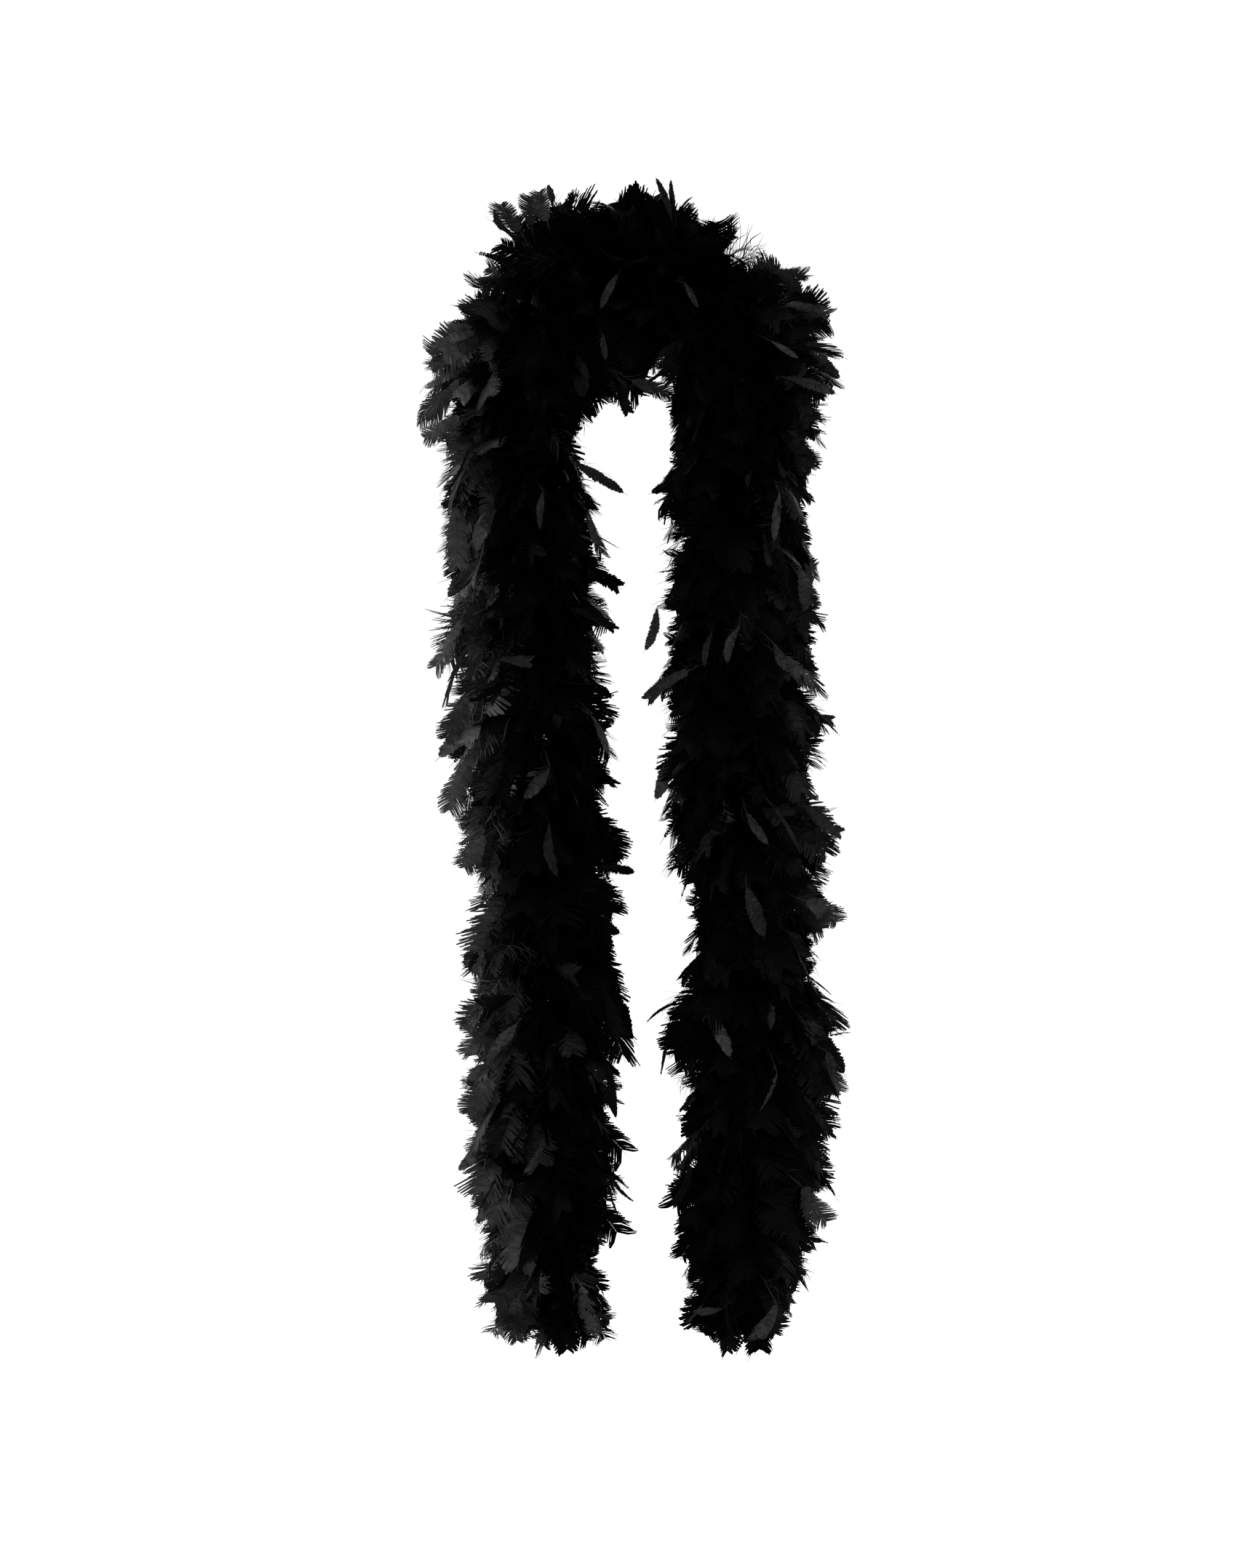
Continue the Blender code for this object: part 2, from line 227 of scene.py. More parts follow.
def settle(ob, s):
    """Rides a finished piece whose middle is at s on the cord on the body there; a piece across a joint is left on no
    body, its transform baked in.
    """
    side = "left" if s < line.crest else "right"
    out = -1.0 if side == "left" else 1.0
    for z in ZONES[side]:
        if (s - z["s0"]) * out >= 0 and (z["s1"] - s) * out > 0:
            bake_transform(ob)
            return
    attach(ob, "neck" if (s - ZONES[side][0]["s0"]) * out < 0 else chain(side)[4])


# ----------------------------------------------------------------------------------------------
# Feather patterns
#
# A pattern is one flat feather: u runs across the vane and v along the quill, both in metres,
# and w is out of the plane. Each barb is a strip of its own, so a vane splits and frays.
# ----------------------------------------------------------------------------------------------
class Pattern:
    def __init__(self):
        self.co, self.faces, self.tone, self.n = [], [], [], 0

    def strips(self, pts, side, width, tone):
        """pts (n, m, 3): n strips of m points; side (n, m, 3): unit vector across each; width (n, m)."""
        n, m, _ = pts.shape
        a = pts - side * width[..., None] * 0.5
        b = pts + side * width[..., None] * 0.5
        co = np.stack([a, b], 2).reshape(-1, 3)
        base = self.n + (np.arange(n) * m * 2)[:, None] + (np.arange(m - 1) * 2)[None]
        f = np.stack([base, base + 1, base + 3, base + 2], -1).reshape(-1, 4)
        self.co.append(co)
        self.faces.append(f)
        self.tone.append(np.repeat(tone, m * 2))
        self.n += len(co)

    def tube(self, pts, radius, sides, tone):
        """A closed quill: rings of points with a point at its tip."""
        m = len(pts)
        ang = np.arange(sides) * TAU / sides
        ring = np.stack([np.cos(ang), 0 * ang, np.sin(ang)], -1)
        co = (pts[:, None] + ring[None] * radius[:, None, None]).reshape(-1, 3)
        f = []
        for i in range(m - 1):
            for k in range(sides):
                k2 = (k + 1) % sides
                f.append((self.n + i * sides + k, self.n + i * sides + k2,
                          self.n + (i + 1) * sides + k2, self.n + (i + 1) * sides + k))
        self.co.append(co)
        self.faces.append(np.array(f))
        self.tone.append(np.full(len(co), tone))
        self.n += len(co)

    def done(self):
        self.co = np.concatenate(self.co)
        self.faces = np.concatenate(self.faces)
        self.tone = np.concatenate(self.tone)
        return self


def outline(kind, t):
    """Half width of a vane along it, 0 at its base and 1 at its tip, as a share of its widest."""
    if kind == "flat":
        return np.clip(0.35 + 1.3 * t, 0, 1) * np.clip(1 - np.clip((t - 0.55) / 0.45, 0, 1) ** 2.6, 0, 1) ** 0.5
    if kind == "square":
        return np.clip(0.35 + 1.0 * t, 0, 1) * np.clip((1.03 - t) / 0.06, 0.0, 1) ** 0.5
    if kind == "leaf":
        return np.sin(np.pi * np.clip(t, 0, 1) ** 0.9) ** 0.8
    if kind == "spike":
        return np.clip(0.5 + 0.9 * t, 0, 1) * np.clip(1 - t, 0, 1) ** 0.75
    if kind == "paddle":
        return np.clip(0.45 + 0.55 * t, 0, 1) * np.clip((1.02 - t) / 0.10, 0, 1) ** 0.5
    return np.clip(0.6 + 0.8 * t, 0, 1) * np.clip(1 - t, 0, 1) ** 0.5


def feather(kind, length, half, seed, bare=0.30, pitch=0.0016, down=36, down_len=0.016, loose=0.0, fray=0.18, rows=4):
    """One feather pattern. bare: the share of the quill below the vane, which carries the down."""
    rng = np.random.default_rng(seed)
    p = Pattern()
    v0, v1 = bare * length, length
    # The quill, which thins towards the tip.
    q = np.linspace(0.0, 1.0, 7 if rows > 3 else 5)
    quill = np.stack([0.0 * q, q * (v1 - 0.10 * half), 0.0 * q], -1)
    p.tube(quill, 0.00062 * (1 - q) ** 0.8 + 0.00010, 4 if rows > 3 else 3, 1.25)
    # The vane.
    n = max(8, int((v1 - v0) / pitch))
    for sgn in (-1.0, 1.0):
        t = (np.arange(n) + 0.5 + rng.uniform(-0.2, 0.2, n)) / n
        t0 = t * 0.90                              # where the barb leaves the quill
        root = v0 + (v1 - v0) * t0
        ang = np.radians(64.0 - (16.0 if kind == "flat" else 24.0) * t ** 2 + rng.normal(0, 2.0, n))
        # Barbs run forward, so a barb that ends at t on the outline starts below it.
        reach = half * outline(kind, t * 0.98 + 0.01) * (1 + rng.normal(0, 0.08, n))
        # Splits: the barbs of one tuft lean together and end at their own length.
        tuft = np.cumsum(rng.random(n) < (0.14 + 0.25 * loose))
        lean = rng.normal(0, 0.07 + 0.15 * loose, tuft.max() + 1)[tuft]
        cut = 1 - np.abs(rng.normal(0, fray, tuft.max() + 1))[tuft]
        reach = np.maximum(reach * np.clip(cut, 0.45, 1.0), 0.0006)
        length_b = reach / np.sin(ang)
        m = rows
        x = np.linspace(0, 1, m)[None]
        ang_x = (ang + lean)[:, None] - np.radians(15 if kind == "flat" else 20) * x ** 1.5   # a barb bends to the tip
        step = (length_b / (m - 1))[:, None]
        du = np.sin(ang_x) * step
        dv = np.cos(ang_x) * step
        u = np.concatenate([np.zeros((n, 1)), np.cumsum(0.5 * (du[:, 1:] + du[:, :-1]), 1)], 1)
        v = root[:, None] + np.concatenate([np.zeros((n, 1)), np.cumsum(0.5 * (dv[:, 1:] + dv[:, :-1]), 1)], 1)
        over = np.maximum(v - v1, 0)
        v = v - over * 0.65
        w = rng.normal(0, 0.00018, (n, 1)) * x + rng.normal(0, 0.0006 + 0.0016 * loose, tuft.max() + 1)[tuft][:, None] * x ** 2
        pts = np.stack([sgn * (u + 0.0001), v, w], -1)
        across = np.stack([-sgn * np.cos(ang_x), np.sin(ang_x), 0 * ang_x], -1)
        gap = (v1 - v0) / n * np.sin(ang)[:, None]
        width = gap * (1.30 - 0.50 * loose) * (1.35 if half < 0.008 else 1.0) * np.interp(np.linspace(0, 1, m), (0, 0.33, 0.66, 1.0), (1.0, 1.05, 0.98, 0.24 + 0.38 * (1 - loose)))[None]
        p.strips(pts, across, width, np.exp(rng.normal(0, 0.16, n)))
    # The down: limp barbs round the lower quill, out of the plane as well.
    if down:
        m = min(rows, 4)
        root = rng.uniform(0.06 * length, (bare + 0.25) * length, down)
        az = rng.uniform(0, TAU, down)
        flat = np.where(rng.random(down) < 0.65, 0.45, 1.0)
        out = np.stack([np.cos(az), 0 * az, np.sin(az) * flat], -1)
        dl = down_len * rng.uniform(0.55, 1.25, down)
        x = np.linspace(0, 1, m)
        bendf = rng.uniform(0.2, 1.0, down)
        pts = np.zeros((down, m, 3))
        pts[:, 0, 1] = root
        d = out + np.array((0, 1, 0)) * bendf[:, None]
        d /= np.linalg.norm(d, axis=1)[:, None]
        for i in range(1, m):
            pts[:, i] = pts[:, i - 1] + d * (dl / (m - 1))[:, None]
            d = d + rng.normal(0, 0.32, (down, 3)) + np.array((0, 0.25, 0))
            d /= np.linalg.norm(d, axis=1)[:, None]
        across = np.cross(d, rng.normal(0, 1, (down, 3)))
        across /= np.linalg.norm(across, axis=1)[:, None]
        across = np.repeat(across[:, None], m, 1)
        width = np.repeat((0.00042 * rng.uniform(0.7, 1.3, down))[:, None], m, 1) * np.interp(np.arange(m) / (m - 1), (0, 0.5, 1), (1, 0.95, 0.25))
        p.strips(pts, across, width, np.exp(rng.normal(0.1, 0.2, down)))
    p.done()
    p.length, p.half, p.kind = length, half, kind
    return p


def plume(length, seed, barbs=70, barb_len=0.020):
    """A soft down feather: long limp barbs all the way up a thin quill."""
    rng = np.random.default_rng(seed)
    p = Pattern()
    q = np.linspace(0.0, 1.0, 6)
    p.tube(np.stack([0 * q, q * length * 0.92, 0 * q], -1), 0.00045 * (1 - q) + 0.00008, 3, 1.1)
    m = 4
    root = np.linspace(0.05, 0.93, barbs) * length
    sgn = np.where(np.arange(barbs) % 2 == 0, 1.0, -1.0)
    t = root / length
    dl = barb_len * (0.75 + 0.5 * np.sin(np.pi * t)) * rng.uniform(0.6, 1.2, barbs) * np.clip(1.6 - t, 0.5, 1)
    d = np.stack([sgn * np.sin(np.radians(62 - 30 * t)), np.cos(np.radians(62 - 30 * t)),
                  rng.normal(0, 0.55, barbs)], -1)
    d /= np.linalg.norm(d, axis=1)[:, None]
    pts = np.zeros((barbs, m, 3))
    pts[:, 0, 1] = root
    for i in range(1, m):
        pts[:, i] = pts[:, i - 1] + d * (dl / (m - 1))[:, None]
        d = d + rng.normal(0, 0.28, (barbs, 3)) + np.array((0, 0.18, 0))
        d /= np.linalg.norm(d, axis=1)[:, None]
    across = np.cross(d, np.array((0.0, 0.2, 1.0)) + rng.normal(0, 0.5, (barbs, 3)))
    across /= np.linalg.norm(across, axis=1)[:, None]
    width = np.repeat((0.00062 * rng.uniform(0.6, 1.3, barbs))[:, None], m, 1) * np.array([1.1, 1, 0.8, 0.2])
    p.strips(pts, np.repeat(across[:, None], m, 1), width, np.exp(rng.normal(0.05, 0.2, barbs)))
    p.done()
    p.length, p.half, p.kind = length, barb_len, "plume"
    return p


PATTERNS = {
    "flat": [feather("flat", 0.085, 0.0150, 11 + k, fray=0.07, down=20, pitch=0.0012, rows=3) for k in range(3)]
    + [feather("flat", 0.085, 0.0170, 21 + k, fray=0.11, loose=0.20, down=20, pitch=0.0012, rows=3) for k in range(3)],
    "square": [feather("square", 0.080, 0.0120, 31 + k, fray=0.06, down=18, pitch=0.0012, rows=3) for k in range(3)],
    "leaf": [feather("leaf", 0.085, 0.0065, 41 + k, bare=0.36, fray=0.03, pitch=0.0014, down=26) for k in range(3)],
    "spike": [feather("spike", 0.085, 0.0036, 51 + k, bare=0.36, fray=0.04, pitch=0.0016, down=16) for k in range(3)],
    "paddle": [feather("paddle", 0.080, 0.0065, 61 + k, bare=0.34, fray=0.03, pitch=0.0014, down=24) for k in range(2)],
    "broad": [feather("flat", 0.085, 0.0160, 101 + k, bare=0.34, fray=0.06, loose=0.05, pitch=0.0011, down=30, down_len=0.020) for k in range(3)],
    "loose": [feather("flat", 0.085, 0.0185, 71 + k, bare=0.22, fray=0.20, loose=0.8, pitch=0.0011, down=44, down_len=0.020, rows=3) for k in range(4)],
    "plume": [plume(0.072, 81 + k, barbs=86, barb_len=0.022) for k in range(4)],
    # Underneath: the same feathers with fewer and wider barbs.
    "under": [feather("flat", 0.080, 0.0165, 91 + k, bare=0.16, fray=0.10, pitch=0.0026, down=10, rows=3) for k in range(4)],
}


# ----------------------------------------------------------------------------------------------
# Laying feathers
# ----------------------------------------------------------------------------------------------
def unit(a):
    return a / np.maximum(np.linalg.norm(a, axis=-1, keepdims=True), 1e-9)


KNOTS = 13


def bow(p0, mid, tip):
    """A path from p0 to tip, drawn towards mid: points at even steps of the parameter."""
    t = np.linspace(0, 1, KNOTS)[:, None]
    return (1 - t) ** 2 * p0 + 2 * (1 - t) * t * mid + t ** 2 * tip


def stem(p0, start, tip, bare, sag):
    """A path that leaves the cord, turns, and then runs nearly straight from start, where the vane begins, to tip."""
    t = np.linspace(0, 1, KNOTS)
    run = tip - start
    h = np.clip(t / bare, 0, 1)[:, None]
    reach = np.linalg.norm(start - p0)
    m0, m1 = (start - p0) * 0.9, run / np.linalg.norm(run) * reach * 0.45
    quill = (2 * h ** 3 - 3 * h ** 2 + 1) * p0 + (h ** 3 - 2 * h ** 2 + h) * m0 + (-2 * h ** 3 + 3 * h ** 2) * start + (h ** 3 - h ** 2) * m1
    k = np.clip((t - bare) / (1 - bare), 0, 1)[:, None]
    vane = start + run * k + sag * 4 * k * (1 - k)
    return np.where(t[:, None] <= bare, quill, vane)


class Layer:
    """The feathers of one bunch, gathered pattern by pattern, and then made into one mesh."""

    def __init__(self):
        self.items = []

    def add(self, pattern, path, face, width, tone, camber, twist):
        self.items.append((pattern, path, face, width, tone, camber, twist))

    def mesh(self, name, mats):
        groups = {}
        for it in self.items:
            groups.setdefault(id(it[0]), []).append(it)
        total = len(self.items)
        cells = int(math.ceil(math.sqrt(total)))
        cos, faces, tones, uvs = [], [], [], []
        base = 0
        index = 0
        for its in groups.values():
            pat = its[0][0]
            path, face = (np.array([it[k] for it in its]) for k in (1, 2))
            width, tone, camber, twist = (np.array([it[k] for it in its]) for k in (3, 4, 5, 6))
            n, m = len(its), len(pat.co)
            u, v, w = pat.co.T
            t = np.clip(v / pat.length, -0.05, 1.15)
            slope = np.gradient(path, 1.0 / (KNOTS - 1), axis=1)
            f = np.clip(t, 0, 0.99999) * (KNOTS - 1)
            i = f.astype(int)
            r = (f - i)[None, :, None]
            pos = path[:, i] * (1 - r) + path[:, i + 1] * r
            tan = slope[:, i] * (1 - r) + slope[:, i + 1] * r
            pos = pos + tan * np.clip(t - 1, 0, 1)[None, :, None]
            tan = unit(tan)
            side = unit(np.cross(face[:, None] + 0 * tan, tan))
            nor = np.cross(tan, side)
            tw = twist[:, None] * t[None]
            ct, st = np.cos(tw)[..., None], np.sin(tw)[..., None]
            side, nor = side * ct + nor * st, nor * ct - side * st
            uu = u[None] * width[:, None]
            # The vane is hollow like a gutter, and more so near its tip.
            ww = w[None] - camber[:, None] * (uu ** 2) * 40.0
            co = pos + side * uu[..., None] + nor * ww[..., None]
            cos.append(co.reshape(-1, 3))
            faces.append((pat.faces[None] + (base + np.arange(n) * m)[:, None, None]).reshape(-1, 4))
            tones.append((tone[:, None] * pat.tone[None]).reshape(-1))
            cell = index + np.arange(n)
            cu, cv = (cell % cells)[:, None], (cell // cells)[:, None]
            su = np.clip(0.5 + 0.5 * u / (pat.half * 1.9), 0.02, 0.98)[None]
            sv = np.clip(v / (pat.length * 1.15), 0.02, 0.98)[None]
            uvs.append(np.stack([(cu + su) / cells, (cv + sv) / cells], -1).reshape(-1, 2))
            base += n * m
            index += n
        co, f = np.concatenate(cos), np.concatenate(faces)
        tone, uv = np.concatenate(tones), np.concatenate(uvs)
        return make_mesh(name, pressed(co), f, mats, tone=tone, uv=uv)


ROOM = ((-0.1785, 0.1870), (-0.0840, 0.0840), (-0.8980, 0.1060))    # the box that the plumage may fill


def pressed(co):
    """Lays down whatever stands out of the room: past the last 12 mm it is pressed flat, softly."""
    co = co.copy()
    for axis, (lo, hi) in enumerate(ROOM):
        soft = 0.012
        for sign, edge in ((1.0, hi), (-1.0, -lo)):
            v = co[:, axis] * sign - (edge - soft)
            co[:, axis] = np.where(v > 0, sign * (edge - soft + soft * (1 - np.exp(-np.maximum(v, 0) / soft))), co[:, axis])
    return co


def make_mesh(name, co, quads, mats, tone=None, uv=None, smooth=True):
    me = bpy.data.meshes.new(name)
    me.vertices.add(len(co))
    me.vertices.foreach_set("co", np.ascontiguousarray(co, dtype=np.float32).ravel())
    me.loops.add(quads.size)
    me.loops.foreach_set("vertex_index", np.ascontiguousarray(quads, dtype=np.int32).ravel())
    me.polygons.add(len(quads))
    me.polygons.foreach_set("loop_start", np.arange(len(quads), dtype=np.int32) * 4)
    me.update(calc_edges=True)
    if smooth:
        me.polygons.foreach_set("use_smooth", np.ones(len(quads), dtype=bool))
    if tone is not None:
        at = me.attributes.new("tone", "FLOAT", "POINT")
        at.data.foreach_set("value", tone.astype(np.float32))
    if uv is not None:
        layer = me.uv_layers.new(name="OFBake")
        layer.data.foreach_set("uv", np.ascontiguousarray(uv[quads.ravel()], dtype=np.float32).ravel())
    for m in mats:
        me.materials.append(m)
    me.validate()
    ob = bpy.data.objects.new(name, me)
    scene.collection.objects.link(ob)
    return ob


# ----------------------------------------------------------------------------------------------
# Materials
# ----------------------------------------------------------------------------------------------
def feather_material(name, spec, rough, sheen):
    m = bpy.data.materials.new(name)
    m.use_nodes = True
    nt = m.node_tree
    b = nt.nodes["Principled BSDF"]
    b.inputs["Specular IOR Level"].default_value = spec
    b.inputs["Sheen Weight"].default_value = sheen
    b.inputs["Sheen Roughness"].default_value = 0.45
    b.inputs["Sheen Tint"].default_value = (0.8, 0.85, 1.0, 1.0)
    # The tone attribute sets each feather's darkness: its own tone at random, plus painted light where it was set
    # higher (the painted backlight of the left edge and the painted highlights of single vanes).
    tone = nt.nodes.new("ShaderNodeAttribute")
    tone.attribute_name = "tone"
    uv = nt.nodes.new("ShaderNodeUVMap")
    uv.uv_map = "OFBake"
    # Streaks: noise drawn out along the barbs, and blotches where the dye took unevenly.
    stretch = nt.nodes.new("ShaderNodeMapping")
    stretch.inputs["Scale"].default_value = (60.0, 260.0, 1.0)
    stretch.inputs["Rotation"].default_value = (0.0, 0.0, math.radians(32))
    nt.links.new(uv.outputs["UV"], stretch.inputs["Vector"])
    streak = nt.nodes.new("ShaderNodeTexNoise")
    streak.inputs["Scale"].default_value = 1.0
    streak.inputs["Detail"].default_value = 2.0
    nt.links.new(stretch.outputs["Vector"], streak.inputs["Vector"])
    blotch = nt.nodes.new("ShaderNodeTexNoise")
    blotch.inputs["Scale"].default_value = 22.0
    blotch.inputs["Detail"].default_value = 3.0
    nt.links.new(uv.outputs["UV"], blotch.inputs["Vector"])
    grow = nt.nodes.new("ShaderNodeMapRange")
    grow.inputs["From Min"].default_value = 0.25
    grow.inputs["From Max"].default_value = 0.75
    grow.inputs["To Min"].default_value = 0.55
    grow.inputs["To Max"].default_value = 1.5
    nt.links.new(streak.outputs["Fac"], grow.inputs["Value"])
    grow2 = nt.nodes.new("ShaderNodeMapRange")
    grow2.inputs["From Min"].default_value = 0.3
    grow2.inputs["From Max"].default_value = 0.7
    grow2.inputs["To Min"].default_value = 0.6
    grow2.inputs["To Max"].default_value = 1.4
    nt.links.new(blotch.outputs["Fac"], grow2.inputs["Value"])
    a = nt.nodes.new("ShaderNodeMath"); a.operation = "MULTIPLY"
    nt.links.new(grow.outputs["Result"], a.inputs[0])
    nt.links.new(grow2.outputs["Result"], a.inputs[1])
    c = nt.nodes.new("ShaderNodeMath"); c.operation = "MULTIPLY"
    nt.links.new(a.outputs[0], c.inputs[0])
    nt.links.new(tone.outputs["Fac"], c.inputs[1])
    tint = nt.nodes.new("ShaderNodeVectorMath"); tint.operation = "SCALE"
    tint.inputs[0].default_value = (0.98, 0.99, 1.03)
    nt.links.new(c.outputs[0], tint.inputs["Scale"])
    nt.links.new(tint.outputs["Vector"], b.inputs["Base Color"])
    r = nt.nodes.new("ShaderNodeMapRange")
    r.inputs["From Min"].default_value = 0.3
    r.inputs["From Max"].default_value = 0.7
    r.inputs["To Min"].default_value = rough - 0.10
    r.inputs["To Max"].default_value = rough + 0.14
    nt.links.new(streak.outputs["Fac"], r.inputs["Value"])
    nt.links.new(r.outputs["Result"], b.inputs["Roughness"])
    bump = nt.nodes.new("ShaderNodeBump")
    bump.inputs["Strength"].default_value = 0.35
    bump.inputs["Distance"].default_value = 0.0004
    nt.links.new(streak.outputs["Fac"], bump.inputs["Height"])
    nt.links.new(bump.outputs["Normal"], b.inputs["Normal"])
    return m


plumage = feather_material("black_feathers", spec=0.014, rough=0.55, sheen=0.0)

# ----------------------------------------------------------------------------------------------
# The surface of the plumage
#
# Its half widths come from the CAD bunches: how far the vanes of each one reach from the cord,
# towards the outside of the arch and towards its inside. The feathers of a real boa aren't even,
# so the surface also swells and dips in clumps, and a few places are fuller or thinner.
# ----------------------------------------------------------------------------------------------
def outward(s):
    """Across the cord, in the plane of the boa, away from the space inside the arch."""
    return unit(np.cross(line.tangent(s), Y))


def reach_of(b):
    """How far the vanes of a CAD bunch reach outward and inward."""
    co = np.array([v.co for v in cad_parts[b["node"]].data.vertices], float)
    r = (co - line.at(b["s"])) @ outward(b["s"])
    return r.max(), -r.min()


REACHES = np.array([reach_of(b) for b in bunches])
STATIONS = np.array([b["s"] for b in bunches])

# Where the boa is fuller than its bunches, or thinner: the leg, the hand (+1 outward, -1 inward),
# the distance along the cord from the middle of the neck, how much, and over what length, in mm.
SWELLS = (
    ("left", 1, 52, 19, 23), ("left", 1, 148, 12, 32), ("left", 1, 400, 12, 110), ("left", 1, 565, -8, 40), ("left", 1, 715, 8, 40),
    ("left", -1, 0, 14, 50), ("left", -1, 141, 33, 22), ("left", -1, 185, -12, 40), ("left", -1, 540, 10, 55), ("left", -1, 645, 10, 45), ("left", -1, 840, -5, 40), ("left", 1, 875, 14, 50), ("left", 1, 90, -10, 16), ("left", 1, 28, 5, 20),
    ("right", 1, 15, 3, 20), ("right", 1, 85, -10, 25), ("right", 1, 108, 6, 24), ("right", 1, 215, -11, 50),
    ("right", 1, 420, 10, 50), ("right", 1, 555, 8, 36), ("right", 1, 632, -12, 28), ("right", 1, 750, 8, 60),
    ("right", 1, 870, -3, 30), ("right", -1, 0, 14, 50), ("right", -1, 131, 15, 20), ("right", -1, 160, 7, 26), ("right", -1, 150, 12, 60), ("right", -1, 252, 13, 36),
    ("right", -1, 505, 8, 30), ("right", -1, 575, -9, 45), ("right", -1, 700, 17, 38), ("right", -1, 875, 7, 50),
)


def clumps(s, hand):
    """The tufts that break the surface up, about -1 to 1."""
    rng = np.random.default_rng(31 if hand > 0 else 57)
    total = 0.0
    for wavelength in (0.118, 0.073, 0.052, 0.037, 0.029):
        total = total + np.sin(TAU * s / (wavelength * rng.uniform(0.93, 1.07)) + rng.uniform(0, TAU))
    return total / 3.0


def half_width(s, hand):
    far = s - line.crest
    w = np.interp(s, STATIONS, REACHES[:, 0 if hand > 0 else 1]) + np.interp(np.abs(far), (0.08, 0.20), (0.0025, 0.0048)) * clumps(s, hand)
    for side, which, along, more, over in SWELLS:
        if which == hand:
            place = -along if side == "left" else along
            w = w + 0.001 * more * np.exp(-((far - 0.001 * place) / (0.001 * over)) ** 2)
    return w


def surface_points():
    """The surface in the plane of the boa: up the outside of the arch, round an end, and back along the inside."""
    s = np.linspace(0.0, line.length, 181)
    mid, out = line.at(s), outward(s)
    rims = {hand: mid + hand * out * half_width(s, hand)[:, None] for hand in (1, -1)}
    ends = []
    for k, along in ((0, -1.0), (-1, 1.0)):
        p, t, o = mid[k], line.tangent(s[k]) * along, out[k]
        cap = [p + o * half_width(s[k], 1) * 0.85 + t * 0.022, p + t * 0.030, p - o * half_width(s[k], -1) * 0.85 + t * 0.022]
        ends.append(cap)
    loop = list(rims[1]) + ends[1] + list(rims[-1][::-1]) + ends[0][::-1]
    return np.array(loop)[:, (0, 2)]


SURFACE = surface_points()
SEG_A, SEG_D = SURFACE, np.roll(SURFACE, -1, axis=0) - SURFACE
DEPTH = 0.5 * (cad_hi[1] - cad_lo[1]) - 0.001


def room_towards(here, way):
    """How far the surface is from a point of the cord, in a direction of the plane of the boa."""
    o = np.array((here[0], here[2]))
    q = SEG_A - o
    den = way[0] * SEG_D[:, 1] - way[1] * SEG_D[:, 0]
    den = np.where(np.abs(den) < 1e-12, 1e-12, den)
    t = (q[:, 0] * SEG_D[:, 1] - q[:, 1] * SEG_D[:, 0]) / den
    u = (q[:, 0] * way[1] - q[:, 1] * way[0]) / den
    t = t[(t > 0.020) & (u >= 0) & (u <= 1)]
    return float(min(t.min(), 0.105)) if len(t) else 0.07


def fill_of(here, d):
    """1 where d takes a point of the cord right out to the plumage's surface, and less inside it."""
    flat = math.hypot(d[0], d[2])
    lateral = flat / room_towards(here, (d[0] / flat, d[2] / flat)) if flat > 1e-6 else 0.0
    return math.hypot(lateral, d[1] / DEPTH)


def wave(s, phi, seed):
    """A smooth unevenness over the surface of the boa, about -1 to 1, in clumps some 45 mm long."""
    rng = np.random.default_rng(seed)
    total = 0.0
    for _ in range(7):
        k = rng.uniform(70, 165)
        j = rng.integers(-2, 3)
        total = total + np.sin(k * s + j * phi + rng.uniform(0, TAU))
    return total / 2.6


MIX = {
    "inner": (("under", 0.84), ("plume", 0.16)),
    "main": (("flat", 0.46), ("loose", 0.22), ("square", 0.16), ("leaf", 0.06), ("plume", 0.10)),
    "tips": (("leaf", 0.36), ("spike", 0.18), ("paddle", 0.22), ("square", 0.14), ("flat", 0.10)),
}
LAYERS = (("inner", 900.0), ("main", 660.0), ("tips", 190.0))      # feathers in a metre of cord

layers = {b["node"]: Layer() for b in bunches}
rng = np.random.default_rng(20240611)


def pick(layer):
    kinds = [k for k, _ in MIX[layer]]
    share = np.array([v for _, v in MIX[layer]])
    return kinds[rng.choice(len(kinds), p=share / share.sum())]


